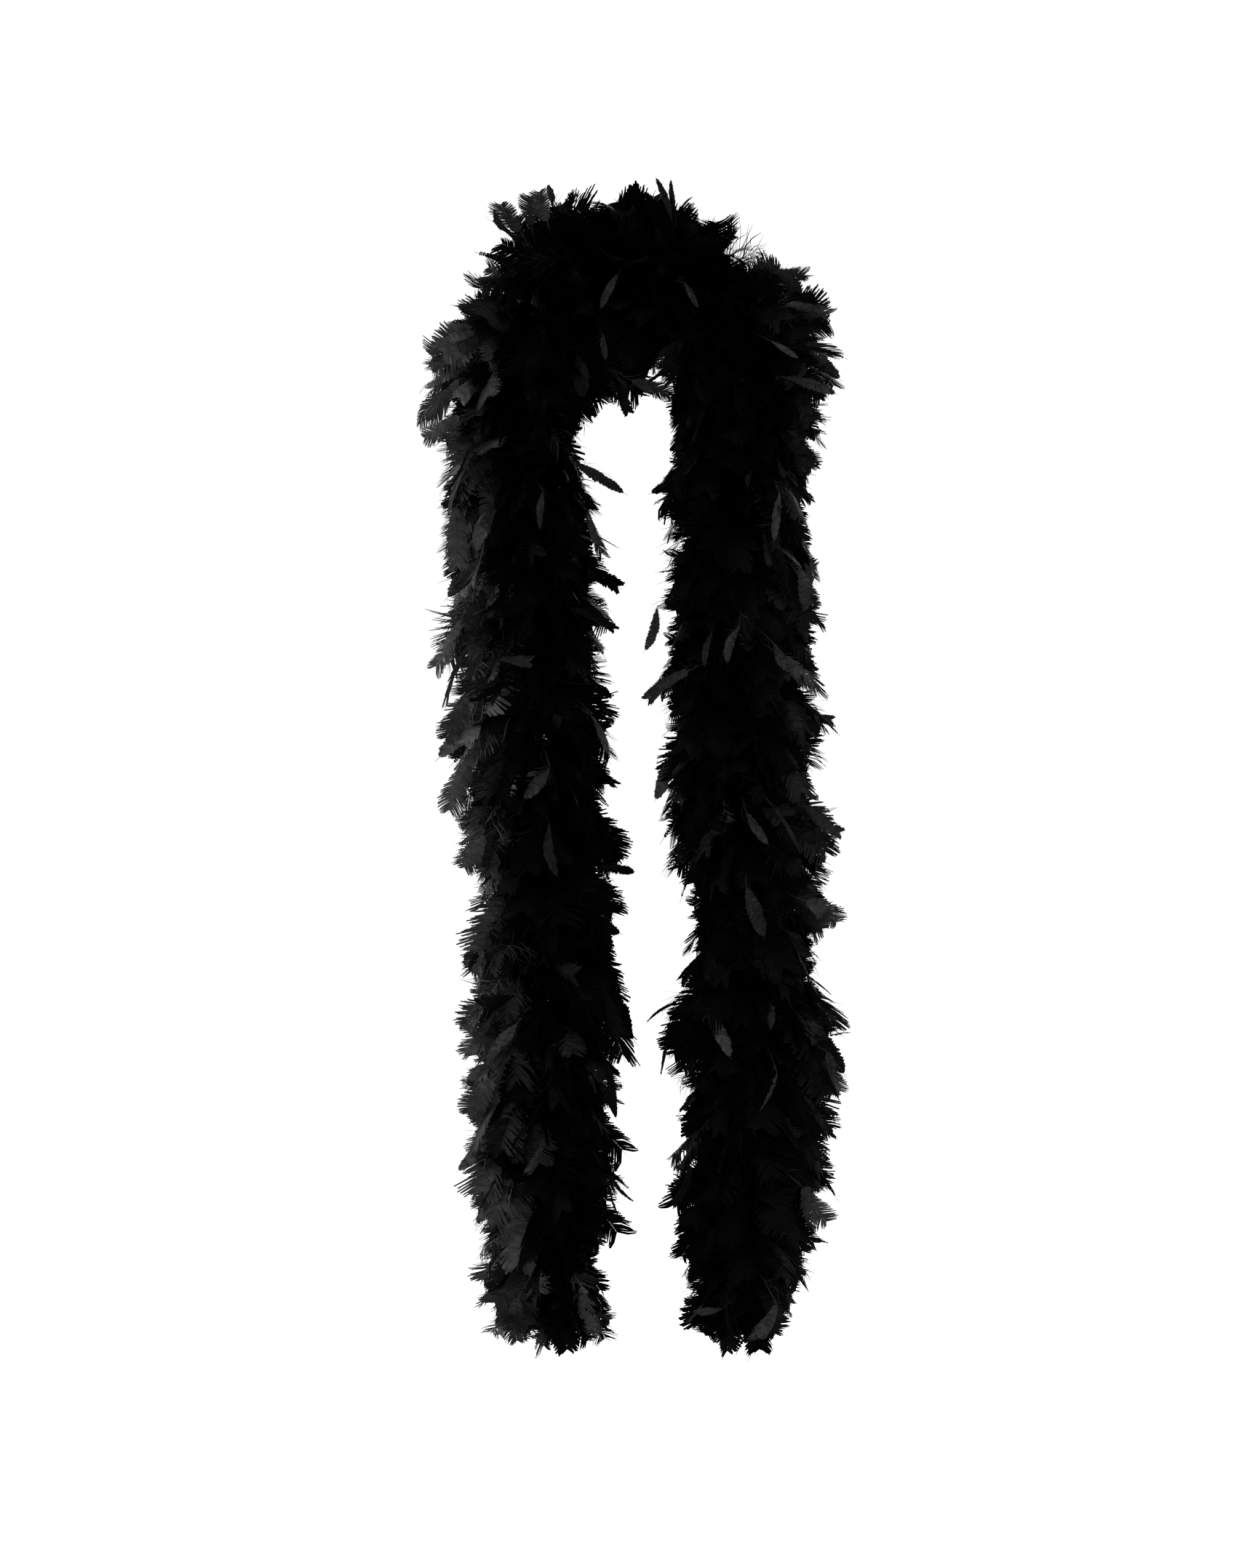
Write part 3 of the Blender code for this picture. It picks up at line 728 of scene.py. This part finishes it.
for b in bunches:
    span = b["hi"] - b["lo"]
    last = b["node"].endswith("_13")
    for layer, per_metre in LAYERS:
        # Bunches are tied closer over the neck, where the boa is at its fullest.
        fuller = 2.1 if b["side"] == "neck" else 2.2 if last else 1.45 if b["node"].endswith("_01") else 1.0
        count = int(round(per_metre * span * fuller))
        turn = rng.random()
        order = rng.permutation(count)
        for i in range(count):
            s = b["lo"] + span * (i + rng.random()) / count
            side = "left" if s < line.crest else "right"
            far = abs(s - line.crest)                        # along the cord from the middle of the neck
            tan = line.tangent(s) * (-1.0 if side == "left" else 1.0)
            here = line.at(s)
            phi = TAU * ((order[i] + rng.uniform(-0.6, 0.6)) / count + turn)
            e1 = unit(np.cross(tan, Y))
            radial = math.cos(phi) * e1 + math.sin(phi) * Y
            up = max(radial[2], 0.0)
            if b["side"] == "neck" and radial[2] < -0.2 and rng.random() < 0.32:
                radial = radial * np.array((1.0, 1.0, -1.0))  # the outside of the bend takes more feathers
                up = max(radial[2], 0.0)
            outer = -radial[0] if side == "left" else radial[0]
            # painted_backlight: the outer feathers of the left leg, and a fifth as much on the right, are painted
            # lighter for the glow of light through thin vanes at that edge
            painted_backlight = np.clip((outer - 0.46) / 0.44, 0, 1) * (1.0 if side == "left" else 0.2)
            kind = pick(layer)
            if painted_backlight > 0.5 and layer == "main" and kind in ("flat", "square") and rng.random() < 0.5:
                kind = "loose"
            if b["side"] == "neck" and abs(radial[2]) > 0.3 and kind in ("loose", "leaf", "plume") and rng.random() < 0.7:
                kind = "broad"
            along = np.clip((far - 0.03) / 0.16, 0.0, 1.0)   # the feathers of the neck lean both ways
            both = rng.normal(0, 0.020) * (1.25 - along)
            lump = 0.055 * wave(s, phi, 5)
            if layer == "inner":
                fill, lean, droop = rng.uniform(0.34, 0.84), rng.uniform(0.018, 0.070), rng.uniform(0.0, 0.02)
            elif layer == "main":
                fill, lean, droop = rng.uniform(0.86, 1.05) + lump, rng.uniform(0.006, 0.068), rng.uniform(0.0, 0.018)
            else:
                fill, lean, droop = rng.uniform(0.97, 1.17) + lump, rng.uniform(-0.006, 0.066), rng.uniform(0.0, 0.02)
            if painted_backlight > 0.4 and side == "left" and layer != "inner":
                lean, fill = lean + 0.016, fill * 0.98            # these lie along the surface, and don't stand out of it
            swirl = unit(np.cross(tan, radial))
            d = radial * 0.066 + tan * (lean * along + both) + DOWN * (droop + 0.014 * (1 - along)) * (1.0 - 0.95 * up) \
                + swirl * rng.normal(0, 0.022)
            d = d * fill / fill_of(here, d)
            p0 = here + radial * CORD_R * 0.9
            tip = here + d
            arc = rng.uniform(0.50, 0.74)
            r = float(d @ radial)
            mid = here + radial * r * arc + (d - radial * r) * rng.uniform(0.05, 0.35) + swirl * rng.normal(0, 0.004) \
                + np.array((0, 0, 1.0)) * rng.uniform(0.0, 0.006)
            if last and rng.random() < 0.80:
                # The last bunch hangs past the knot and closes the end.
                f = rng.random() ** 0.6
                wide = 0.06 / fill_of(here, radial * 0.06) * (1.08 if side == "left" else 0.95)
                hang = rng.uniform(0.026, 0.058) * (1.0 - 0.22 * f * f)
                tip = here + radial * wide * f + tan * hang + rng.normal(0, 0.004, 3)
                mid = p0 + (tip - p0) * 0.40 + radial * wide * f * rng.uniform(0.15, 0.40) + swirl * rng.normal(0, 0.006)
            pat = PATTERNS[kind][rng.integers(len(PATTERNS[kind]))]
            length = np.linalg.norm(mid - p0) + np.linalg.norm(tip - mid)
            face = radial + tan * -0.2 + rng.normal(0, 0.45, 3)
            if layer == "tips" or rng.random() < 0.35:
                face = radial * 0.4 + rng.normal(0, 0.8, 3)
            width = rng.uniform(0.80, 1.25) * np.clip(length / 0.080, 0.75, 1.2) * (1.0 + 0.30 * up * (b["side"] == "neck"))
            tone = 0.0003 * math.exp(rng.normal(0, 0.5))
            if layer != "inner" and rng.random() < 0.06:
                tone = rng.uniform(0.002, 0.008)
            # Painted backlight: a lighter tone added to the outer feathers of the left leg.
            tone += painted_backlight * rng.uniform(0.006, 0.052)
            layers[b["node"]].add(pat, bow(p0, mid, tip), face, width, tone, rng.uniform(-0.3, 1.2), rng.normal(0, 0.5))

# A few more flats lie broadside under the sides of the two ends, where light would show between the others.
FILLERS = 16
under_rng = np.random.default_rng(411)
for b in bunches:
    if b["side"] == "neck" or b["node"].endswith("_13"):
        continue
    for i in range(FILLERS):
        s = b["lo"] + (b["hi"] - b["lo"]) * (i + under_rng.random()) / FILLERS
        tan = line.tangent(s) * (-1.0 if b["side"] == "left" else 1.0)
        here = line.at(s)
        phi = under_rng.normal(0, 0.42) + (math.pi if i % 2 else 0.0)
        radial = math.cos(phi) * unit(np.cross(tan, Y)) + math.sin(phi) * Y
        d = radial * 0.066 + tan * under_rng.uniform(0.015, 0.050) + DOWN * 0.008
        d = d * under_rng.uniform(0.72, 0.95) / fill_of(here, d)
        r = float(d @ radial)
        p0, mid, tip = here + radial * CORD_R * 0.9, here + radial * r * 0.62 + (d - radial * r) * 0.2, here + d
        length = np.linalg.norm(mid - p0) + np.linalg.norm(tip - mid)
        # Painted backlight on the fillers of the left leg, as on the feathers above.
        painted_backlight = np.clip((-radial[0] - 0.46) / 0.44, 0, 1) if b["side"] == "left" else 0.0
        pat = PATTERNS["flat"][int(under_rng.integers(len(PATTERNS["flat"])))]
        layers[b["node"]].add(pat, bow(p0, mid, tip), -Y + under_rng.normal(0, 0.30, 3), under_rng.uniform(0.85, 1.15) * np.clip(length / 0.080, 0.75, 1.2),
                              0.0004 + painted_backlight * under_rng.uniform(0.004, 0.024), 0.4, under_rng.normal(0, 0.3))

# Feathers that stand out one by one. Each is given on the boa itself: its leg, the distance along the
# cord from the middle of the neck (mm), how far across it starts (1 is the outer surface and -1 the
# inner one), the way it points (degrees from the free end's direction, outward), how much of it shows
# (mm), then its kind, its half width (mm) and its tone. The higher tones are painted light: a painted highlight on
# vanes turned to the lamps, and on the left edge a painted glow of light through thin vanes.
SINGLES = (
    ("left", 10, 0.0, -60, 33, "leaf", 3.5, .030), ("left", 35, -0.55, -80, 22, "leaf", 3.0, .035), ("left", 14, -0.95, -95, 26, "paddle", 6.0, .004),
    ("left", 92, -0.85, -40, 36, "leaf", 7.5, .006), ("left", 40, 0.95, 95, 20, "leaf", 3.5, .012), ("left", 64, 0.84, 96, 26, "leaf", 3.4, .004),
    ("left", 46, 0.78, 98, 28, "broad", 11, .018), ("left", 60, 0.78, 88, 30, "broad", 12, .014), ("left", 54, 0.78, 114, 26, "broad", 11, .010), ("left", 145, 0.6, 35, 40, "broad", 9.0, .030),
    ("left", 150, 0.55, 50, 50, "broad", 9.0, .040), ("left", 170, 0.65, 65, 35, "broad", 9.0, .030), ("left", 195, 0.6, 35, 45, "spike", 1.6, .004),
    ("left", 240, 0.8, 5, 50, "broad", 12, .030), ("left", 235, -0.4, 10, 32, "leaf", 3.5, .030), ("left", 210, -0.9, -55, 50, "leaf", 5.0, .012),
    ("left", 250, -0.95, -15, 40, "square", 5.5, .030), ("left", 265, -1.0, -55, 30, "spike", 0.8, .004), ("left", 330, -0.6, -60, 35, "paddle", 5.0, .003),
    ("left", 335, 0.8, 35, 42, "square", 9.0, .045), ("left", 365, 0.3, -80, 24, "square", 6.0, .020), ("left", 395, 0.75, 30, 40, "broad", 12, .030),
    ("left", 445, 0.7, 25, 50, "broad", 13, .035), ("left", 455, -0.2, 40, 33, "leaf", 6.5, .030), ("left", 415, -0.8, -20, 35, "leaf", 3.5, .040),
    ("left", 510, 0.65, 35, 32, "broad", 11, .030), ("left", 500, -0.2, -10, 45, "leaf", 5.0, .020), ("left", 535, -0.78, -80, 28, "leaf", 4.5, .003),
    ("left", 560, -0.9, -45, 22, "spike", 1.2, .003), ("left", 595, 0.8, 65, 26, "spike", 2.0, .010), ("left", 640, -0.8, -20, 35, "square", 7.0, .002),
    ("left", 660, 0.3, 45, 34, "leaf", 5.5, .050), ("left", 700, -0.9, -5, 45, "leaf", 4.0, .003), ("left", 705, 0.62, 38, 38, "broad", 14, .032),
    ("left", 750, 0.7, 45, 42, "leaf", 6.0, .050), ("left", 755, 0.0, 30, 26, "paddle", 4.0, .030), ("left", 785, 0.6, 30, 34, "spike", 2.6, .004),
    ("left", 790, -0.85, -40, 28, "spike", 2.4, .003), ("left", 800, -0.85, -15, 30, "spike", 2.0, .003), ("left", 850, 0.85, 15, 32, "spike", 1.0, .004),
    ("left", 875, -0.6, -5, 45, "broad", 10, .040), ("left", 880, 0.5, 5, 38, "broad", 12, .040),
    ("right", 24, 0.80, 120, 40, "leaf", 3.2, .006), ("right", 27, 0.82, 108, 37, "leaf", 2.8, .006), ("right", 28, 0.95, 62, 18, "spike", 1.8, .004),
    ("right", 45, 0.0, -45, 25, "leaf", 2.5, .030), ("right", 12, -0.93, -14, 32, "broad", 9.0, .022), ("right", 90, 0.8, 45, 26, "square", 7.0, .015),
    ("right", 110, 0.65, 45, 30, "square", 9.0, .040), ("right", 130, 0.4, 70, 48, "spike", 3.2, .002), ("right", 125, 0.2, 40, 26, "leaf", 2.6, .045),
    ("right", 150, 0.4, 75, 42, "leaf", 4.6, .040), ("right", 190, 0.5, 45, 35, "broad", 13, .015), ("right", 240, 0.5, 0, 42, "leaf", 3.6, .050),
    ("right", 305, 0.85, 20, 26, "square", 10, .030), ("right", 335, -1.0, -15, 38, "leaf", 4.5, .040), ("right", 350, 0.0, -15, 34, "leaf", 4.0, .035),
    ("right", 355, -0.4, -10, 30, "leaf", 3.0, .025), ("right", 365, 0.45, 30, 26, "leaf", 5.0, .035), ("right", 375, 0.6, 45, 38, "broad", 9.0, .030),
    ("right", 385, -0.75, -55, 40, "paddle", 6.5, .018), ("right", 415, 0.9, 45, 36, "spike", 4.0, .003), ("right", 455, -0.9, -20, 34, "leaf", 6.0, .035),
    ("right", 500, 0.75, 50, 36, "paddle", 6.5, .018), ("right", 500, 0.0, 30, 32, "leaf", 4.0, .030), ("right", 500, 0.35, 25, 40, "spike", 2.6, .025),
    ("right", 560, -0.1, 15, 44, "leaf", 7.0, .020), ("right", 575, 0.7, 50, 32, "broad", 12, .030), ("right", 630, 0.75, 50, 34, "spike", 1.2, .003),
    ("right", 655, -1.0, -55, 30, "spike", 2.0, .003), ("right", 660, -0.6, 25, 42, "leaf", 6.0, .030), ("right", 675, -1.0, -10, 44, "spike", 2.4, .003),
    ("right", 680, 0.9, 95, 18, "spike", 1.2, .003), ("right", 695, 0.9, 20, 36, "broad", 9.0, .045), ("right", 710, 0.2, -25, 32, "spike", 2.0, .040),
    ("right", 790, -0.8, -20, 36, "paddle", 4.5, .003), ("right", 800, 0.62, 38, 38, "broad", 13, .028), ("right", 840, 0.7, 80, 28, "spike", 2.0, .003),
    ("right", 900, -0.4, -75, 24, "leaf", 3.5, .040), ("right", 890, -0.3, 20, 40, "spike", 2.4, .003), ("right", 895, 0.6, -25, 36, "broad", 9.0, .045),
    ("right", 50, -0.75, -70, 30, "broad", 10, .003), ("right", 62, -0.72, -95, 32, "broad", 12, .004), ("right", 75, -0.75, -105, 30, "broad", 11, .010),
)


def surface_y(x, z):
    """How far in front of the cord the plumage stands at a point of the boa's plane."""
    k = int(np.argmin((line.p[:, 0] - x) ** 2 + (line.p[:, 2] - z) ** 2))
    c = line.p[k]
    off = math.hypot(x - c[0], z - c[2])
    half = room_towards(c, ((x - c[0]) / max(off, 1e-6), (z - c[2]) / max(off, 1e-6)))
    return -(DEPTH + 0.002) * math.sqrt(max(0.0, 1 - (off / half) ** 2))


for side, along, across, way, shows, kind, half, tone in SINGLES:
    s = line.crest + 0.001 * along * (-1.0 if side == "left" else 1.0)
    free = line.tangent(s) * (-1.0 if side == "left" else 1.0)
    out = outward(s)
    start = line.at(s) + out * across * half_width(s, 1 if across > 0 else -1)
    run = unit(free * math.cos(math.radians(way)) + out * math.sin(math.radians(way)))
    end = start + run * 0.001 * shows
    back = start - run * 0.034
    k = int(np.argmin((line.p[:, 0] - back[0]) ** 2 + (line.p[:, 2] - back[2]) ** 2))
    k = min(max(k, 12), len(line.p) - 13)
    s, p0 = line.s[k], line.p[k]
    start[1] = surface_y(start[0], start[2])
    end[1] = surface_y(end[0], end[2]) * 0.55 + start[1] * 0.45
    start[1] *= 0.90                                     # the base of the vane lies in among the others
    pats = PATTERNS[kind]
    pat = pats[int(rng.integers(len(pats)))]
    sag = np.cross(run, Y) * 0.001 * shows * rng.normal(0, 0.05)
    face = np.array((0.0, -1.0, 0.0)) + rng.normal(0, 0.25, 3)
    node = next(b["node"] for b in bunches if b["lo"] - 0.02 <= s <= b["hi"] + 0.001 or b is bunches[-1])
    # The tone of a single, mostly painted highlight, is scaled down: to 0.28 across the middle of the boa, to 0.5
    # towards its edges.
    layers[node].add(pat, stem(p0, start, end, 0.36, sag), face, half / 1000.0 / pat.half, tone * (0.28 if abs(across) < 0.6 else 0.5), 0.3, rng.normal(0, 0.2))

total = 0
for b in bunches:
    ob = layers[b["node"]].mesh("plumage_" + b["node"][len("feather_bunch_"):], [plumage])
    total += len(ob.data.polygons) * 2
    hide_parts(b["node"])
    settle(ob, b["s"])
print("plumage triangles", total, "feathers", sum(len(l.items) for l in layers.values()))

# ----------------------------------------------------------------------------------------------
# Inside the plumage: the core cord, the thread that binds the quills, the whippings and the knots
# ----------------------------------------------------------------------------------------------
THREAD_R = 0.00040
HINGE_GAP = 0.0014


def spun_material(name, colour, rough, spec, ply, sheen):
    """Spun yarn: fibres that run slantwise, with painted shade darker in the grooves and painted light on the ridges,
    and a fine fuzz of bump.
    """
    m = bpy.data.materials.new(name)
    m.use_nodes = True
    nt = m.node_tree
    b = nt.nodes["Principled BSDF"]
    b.inputs["Specular IOR Level"].default_value = spec
    b.inputs["Sheen Weight"].default_value = sheen
    b.inputs["Sheen Roughness"].default_value = 0.5
    uv = nt.nodes.new("ShaderNodeUVMap")
    uv.uv_map = "OFBake"
    turn = nt.nodes.new("ShaderNodeMapping")
    turn.inputs["Rotation"].default_value = (0.0, 0.0, math.radians(ply))
    turn.inputs["Scale"].default_value = (90.0, 900.0, 1.0)
    nt.links.new(uv.outputs["UV"], turn.inputs["Vector"])
    fibre = nt.nodes.new("ShaderNodeTexNoise")
    fibre.inputs["Scale"].default_value = 1.0
    fibre.inputs["Detail"].default_value = 4.0
    nt.links.new(turn.outputs["Vector"], fibre.inputs["Vector"])
    # Painted shade and light: the same noise that drives the bump darkens the colour in its grooves to 0.35 of the
    # yarn's and lightens its ridges to 1.5 times.
    painted_groove_shade = nt.nodes.new("ShaderNodeValToRGB")
    painted_groove_shade.color_ramp.elements[0].position, painted_groove_shade.color_ramp.elements[1].position = 0.32, 0.70
    painted_groove_shade.color_ramp.elements[0].color = (colour * 0.35, colour * 0.34, colour * 0.36, 1.0)
    painted_groove_shade.color_ramp.elements[1].color = (colour * 1.5, colour * 1.45, colour * 1.5, 1.0)
    nt.links.new(fibre.outputs["Fac"], painted_groove_shade.inputs["Fac"])
    nt.links.new(painted_groove_shade.outputs["Color"], b.inputs["Base Color"])
    r = nt.nodes.new("ShaderNodeMapRange")
    r.inputs["To Min"].default_value = rough - 0.08
    r.inputs["To Max"].default_value = min(rough + 0.12, 1.0)
    nt.links.new(fibre.outputs["Fac"], r.inputs["Value"])
    nt.links.new(r.outputs["Result"], b.inputs["Roughness"])
    bump = nt.nodes.new("ShaderNodeBump")
    bump.inputs["Strength"].default_value = 0.6
    bump.inputs["Distance"].default_value = 0.0002
    nt.links.new(fibre.outputs["Fac"], bump.inputs["Height"])
    nt.links.new(bump.outputs["Normal"], b.inputs["Normal"])
    return m


cord_stuff = spun_material("black_cotton_cord", 0.020, 0.82, 0.15, 28.0, 0.10)
thread_stuff = spun_material("black_polyester_thread", 0.015, 0.50, 0.35, 20.0, 0.05)


def strand(path, radius, sides, cell, cyclic=False):
    """A closed tube along a path of points; cell is its own strip (u0, u1) of the piece's UV square."""
    n = len(path)
    tan = unit(np.gradient(path, axis=0))
    if cyclic:
        tan = unit(np.roll(path, -1, axis=0) - np.roll(path, 1, axis=0))
    side = np.zeros_like(path)
    ref = np.array((0.13, 0.97, 0.21))
    for i in range(n):
        ref = ref - tan[i] * (ref @ tan[i])
        ref = ref / np.linalg.norm(ref)
        side[i] = ref
    up = np.cross(tan, side)
    ang = np.arange(sides) * TAU / sides
    co = (path[:, None] + radius * (side[:, None] * np.cos(ang)[None, :, None] + up[:, None] * np.sin(ang)[None, :, None])).reshape(-1, 3)
    rows = n if cyclic else n - 1
    i, k = np.meshgrid(np.arange(rows), np.arange(sides), indexing="ij")
    k2, i2 = (k + 1) % sides, (i + 1) % n
    f = np.stack([i * sides + k, i * sides + k2, i2 * sides + k2, i2 * sides + k], -1).reshape(-1, 4)
    uv = np.stack(np.meshgrid(np.linspace(0.01, 0.99, n), cell[0] + (cell[1] - cell[0]) * (0.08 + 0.84 * np.arange(sides) / sides), indexing="ij"), -1)[..., ::-1]
    uv = uv.reshape(-1, 2)
    if not cyclic:
        # Each end is closed with a point.
        ends = np.array([path[0] - tan[0] * radius * 0.4, path[-1] + tan[-1] * radius * 0.4])
        c0 = len(co)
        co = np.vstack([co, ends])
        uv = np.vstack([uv, [[sum(cell) / 2, 0.003], [sum(cell) / 2, 0.997]]])
        last = (n - 1) * sides
        caps = []
        for k in range(0, sides, 2):
            a, b2, c = k, (k + 1) % sides, (k + 2) % sides
            caps.append((c0, c, b2, a))
            caps.append((c0 + 1, last + a, last + b2, last + c))
        f = np.vstack([f, caps])
    return co, f, uv


def gather(name, strands, stuff, nodes, s):
    cos, faces, uvs, base = [], [], [], 0
    for co, f, uv in strands:
        cos.append(co); faces.append(f + base); uvs.append(uv)
        base += len(co)
    ob = make_mesh(name, np.vstack(cos), np.vstack(faces), [stuff], uv=np.vstack(uvs))
    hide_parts(*nodes)
    settle(ob, s)
    return len(ob.data.polygons) * 2


def round_cord(s, angle, radius):
    """Points at s along the cord, at an angle round it and a distance from its middle."""
    t = line.tangent(s)
    e = unit(np.cross(t, Y))
    return line.at(s) + (e * np.cos(angle)[:, None] + Y * np.sin(angle)[:, None]) * np.asarray(radius)[..., None]


PLY_PITCH = 0.0105


def plies(s0, s1):
    """Three plies, laid up right-handed. The pitch is counted along the whole cord, so its lengths meet."""
    s = np.linspace(s0, s1, max(8, int(abs(s1 - s0) / 0.0016)))
    out = []
    for k in range(3):
        wob = 1 + 0.03 * np.sin(s * 900 + k)
        out.append(strand(round_cord(s, TAU * (s / PLY_PITCH + k / 3), 0.00093 * wob), 0.00102, 8, (k / 3, (k + 1) / 3)))
    return out


def bound(s0, s1):
    """The binding thread: ten close turns where a bunch is tied on, and long open turns from there to the next."""
    s = np.arange(s0, s1, 0.00005)
    near = np.min(np.abs(s[:, None] - STATIONS[None]), axis=1)
    tied = 1 / (1 + np.exp((near - 0.0045) / 0.0006))
    pitch = 0.0034 * (1 - tied) + 0.00088 * tied
    turn = np.cumsum(0.00005 / pitch)
    keep = np.interp(np.arange(turn[0], turn[-1], 1 / 10), turn, s)
    tt = np.interp(keep, s, turn)
    lay = CORD_R + THREAD_R + 0.0002 + 0.0009 * np.interp(keep, s, tied) + 0.00006 * np.sin(keep * 2600)
    return [strand(round_cord(keep, -TAU * tt, lay), THREAD_R, 5, (0.0, 1.0))]


inside_triangles = 0
for what, stuff, slot, make in (("core_cord", cord_stuff, "core_cord", plies), ("binding_thread", thread_stuff, "binding_thread", bound)):
    z0, z1 = ZONES["left"][0]["s0"], ZONES["right"][0]["s0"]
    inside_triangles += gather("%s_over_neck" % what, make(z0, z1), stuff, [what + "_neck"], line.crest)
    for side in ("left", "right"):
        out = -1.0 if side == "left" else 1.0
        for k, z in enumerate(ZONES[side]):
            a, c = sorted((z["s0"], z["s1"]))
            inside_triangles += gather("%s_%s_bend_%d" % (what, side, k + 1), make(a, c), stuff,
                                       ["%s_%s_%d" % (what, side, k + 1)], 0.5 * (a + c))
        end = 0.0040 if side == "left" else line.length - 0.0040
        a, c = sorted((ZONES[side][3]["s1"], end))
        inside_triangles += gather("%s_%s_tail" % (what, side), make(a, c), stuff, ["%s_%s_4" % (what, side)], 0.5 * (a + c))

for side in ("left", "right"):
    out = -1.0 if side == "left" else 1.0
    end = 0.0 if side == "left" else line.length
    # The whipping: eight tight turns behind the knot, and the thread's end tucked back under them.
    a = end - out * 0.0052
    tt = np.linspace(0, 8, 8 * 14 + 1)
    s = a - out * (0.0068 * tt / 8)
    turns = strand(round_cord(s, TAU * tt, CORD_R + THREAD_R + 0.00015), THREAD_R, 6, (0.0, 0.8))
    s = a - out * np.linspace(-0.0006, 0.0074, 12)
    tuck = strand(round_cord(s, np.full(12, 2.1), CORD_R + 0.00005), 0.0003, 5, (0.82, 1.0))
    gather("whipping_turns_%s" % side, [turns, tuck], thread_stuff, ["end_whipping_" + side], a)
    # The knot: the three plies run round an overhand knot together.
    p, t = line.at(end - out * 0.0002), line.tangent(end - out * 0.0002) * out
    e = unit(np.cross(t, Y))
    u = np.linspace(0, TAU, 150, endpoint=False)
    core = p + 0.00215 * (Y * (np.sin(u) + 2 * np.sin(2 * u))[:, None] + e * (np.cos(u) - 2 * np.cos(2 * u))[:, None]
                          + t * (-0.85 * np.sin(3 * u))[:, None])
    tan = unit(np.roll(core, -1, axis=0) - np.roll(core, 1, axis=0))
    side_v = unit(np.cross(tan, t + 0.0 * tan))
    up_v = np.cross(tan, side_v)
    knot = []
    for k in range(3):
        ang = (7 * u + k * TAU / 3)[:, None]
        knot.append(strand(core + (side_v * np.cos(ang) + up_v * np.sin(ang)) * 0.00062, 0.00070, 7, (k / 3, (k + 1) / 3), cyclic=True))
    gather("knotted_plies_%s" % side, knot, cord_stuff, ["end_knot_" + side], end)
print("inside triangles", inside_triangles)

lo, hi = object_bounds()
print("cad", [round(v, 4) for v in cad_lo], [round(v, 4) for v in cad_hi])
print("visual", [round(v, 4) for v in lo], [round(v, 4) for v in hi])
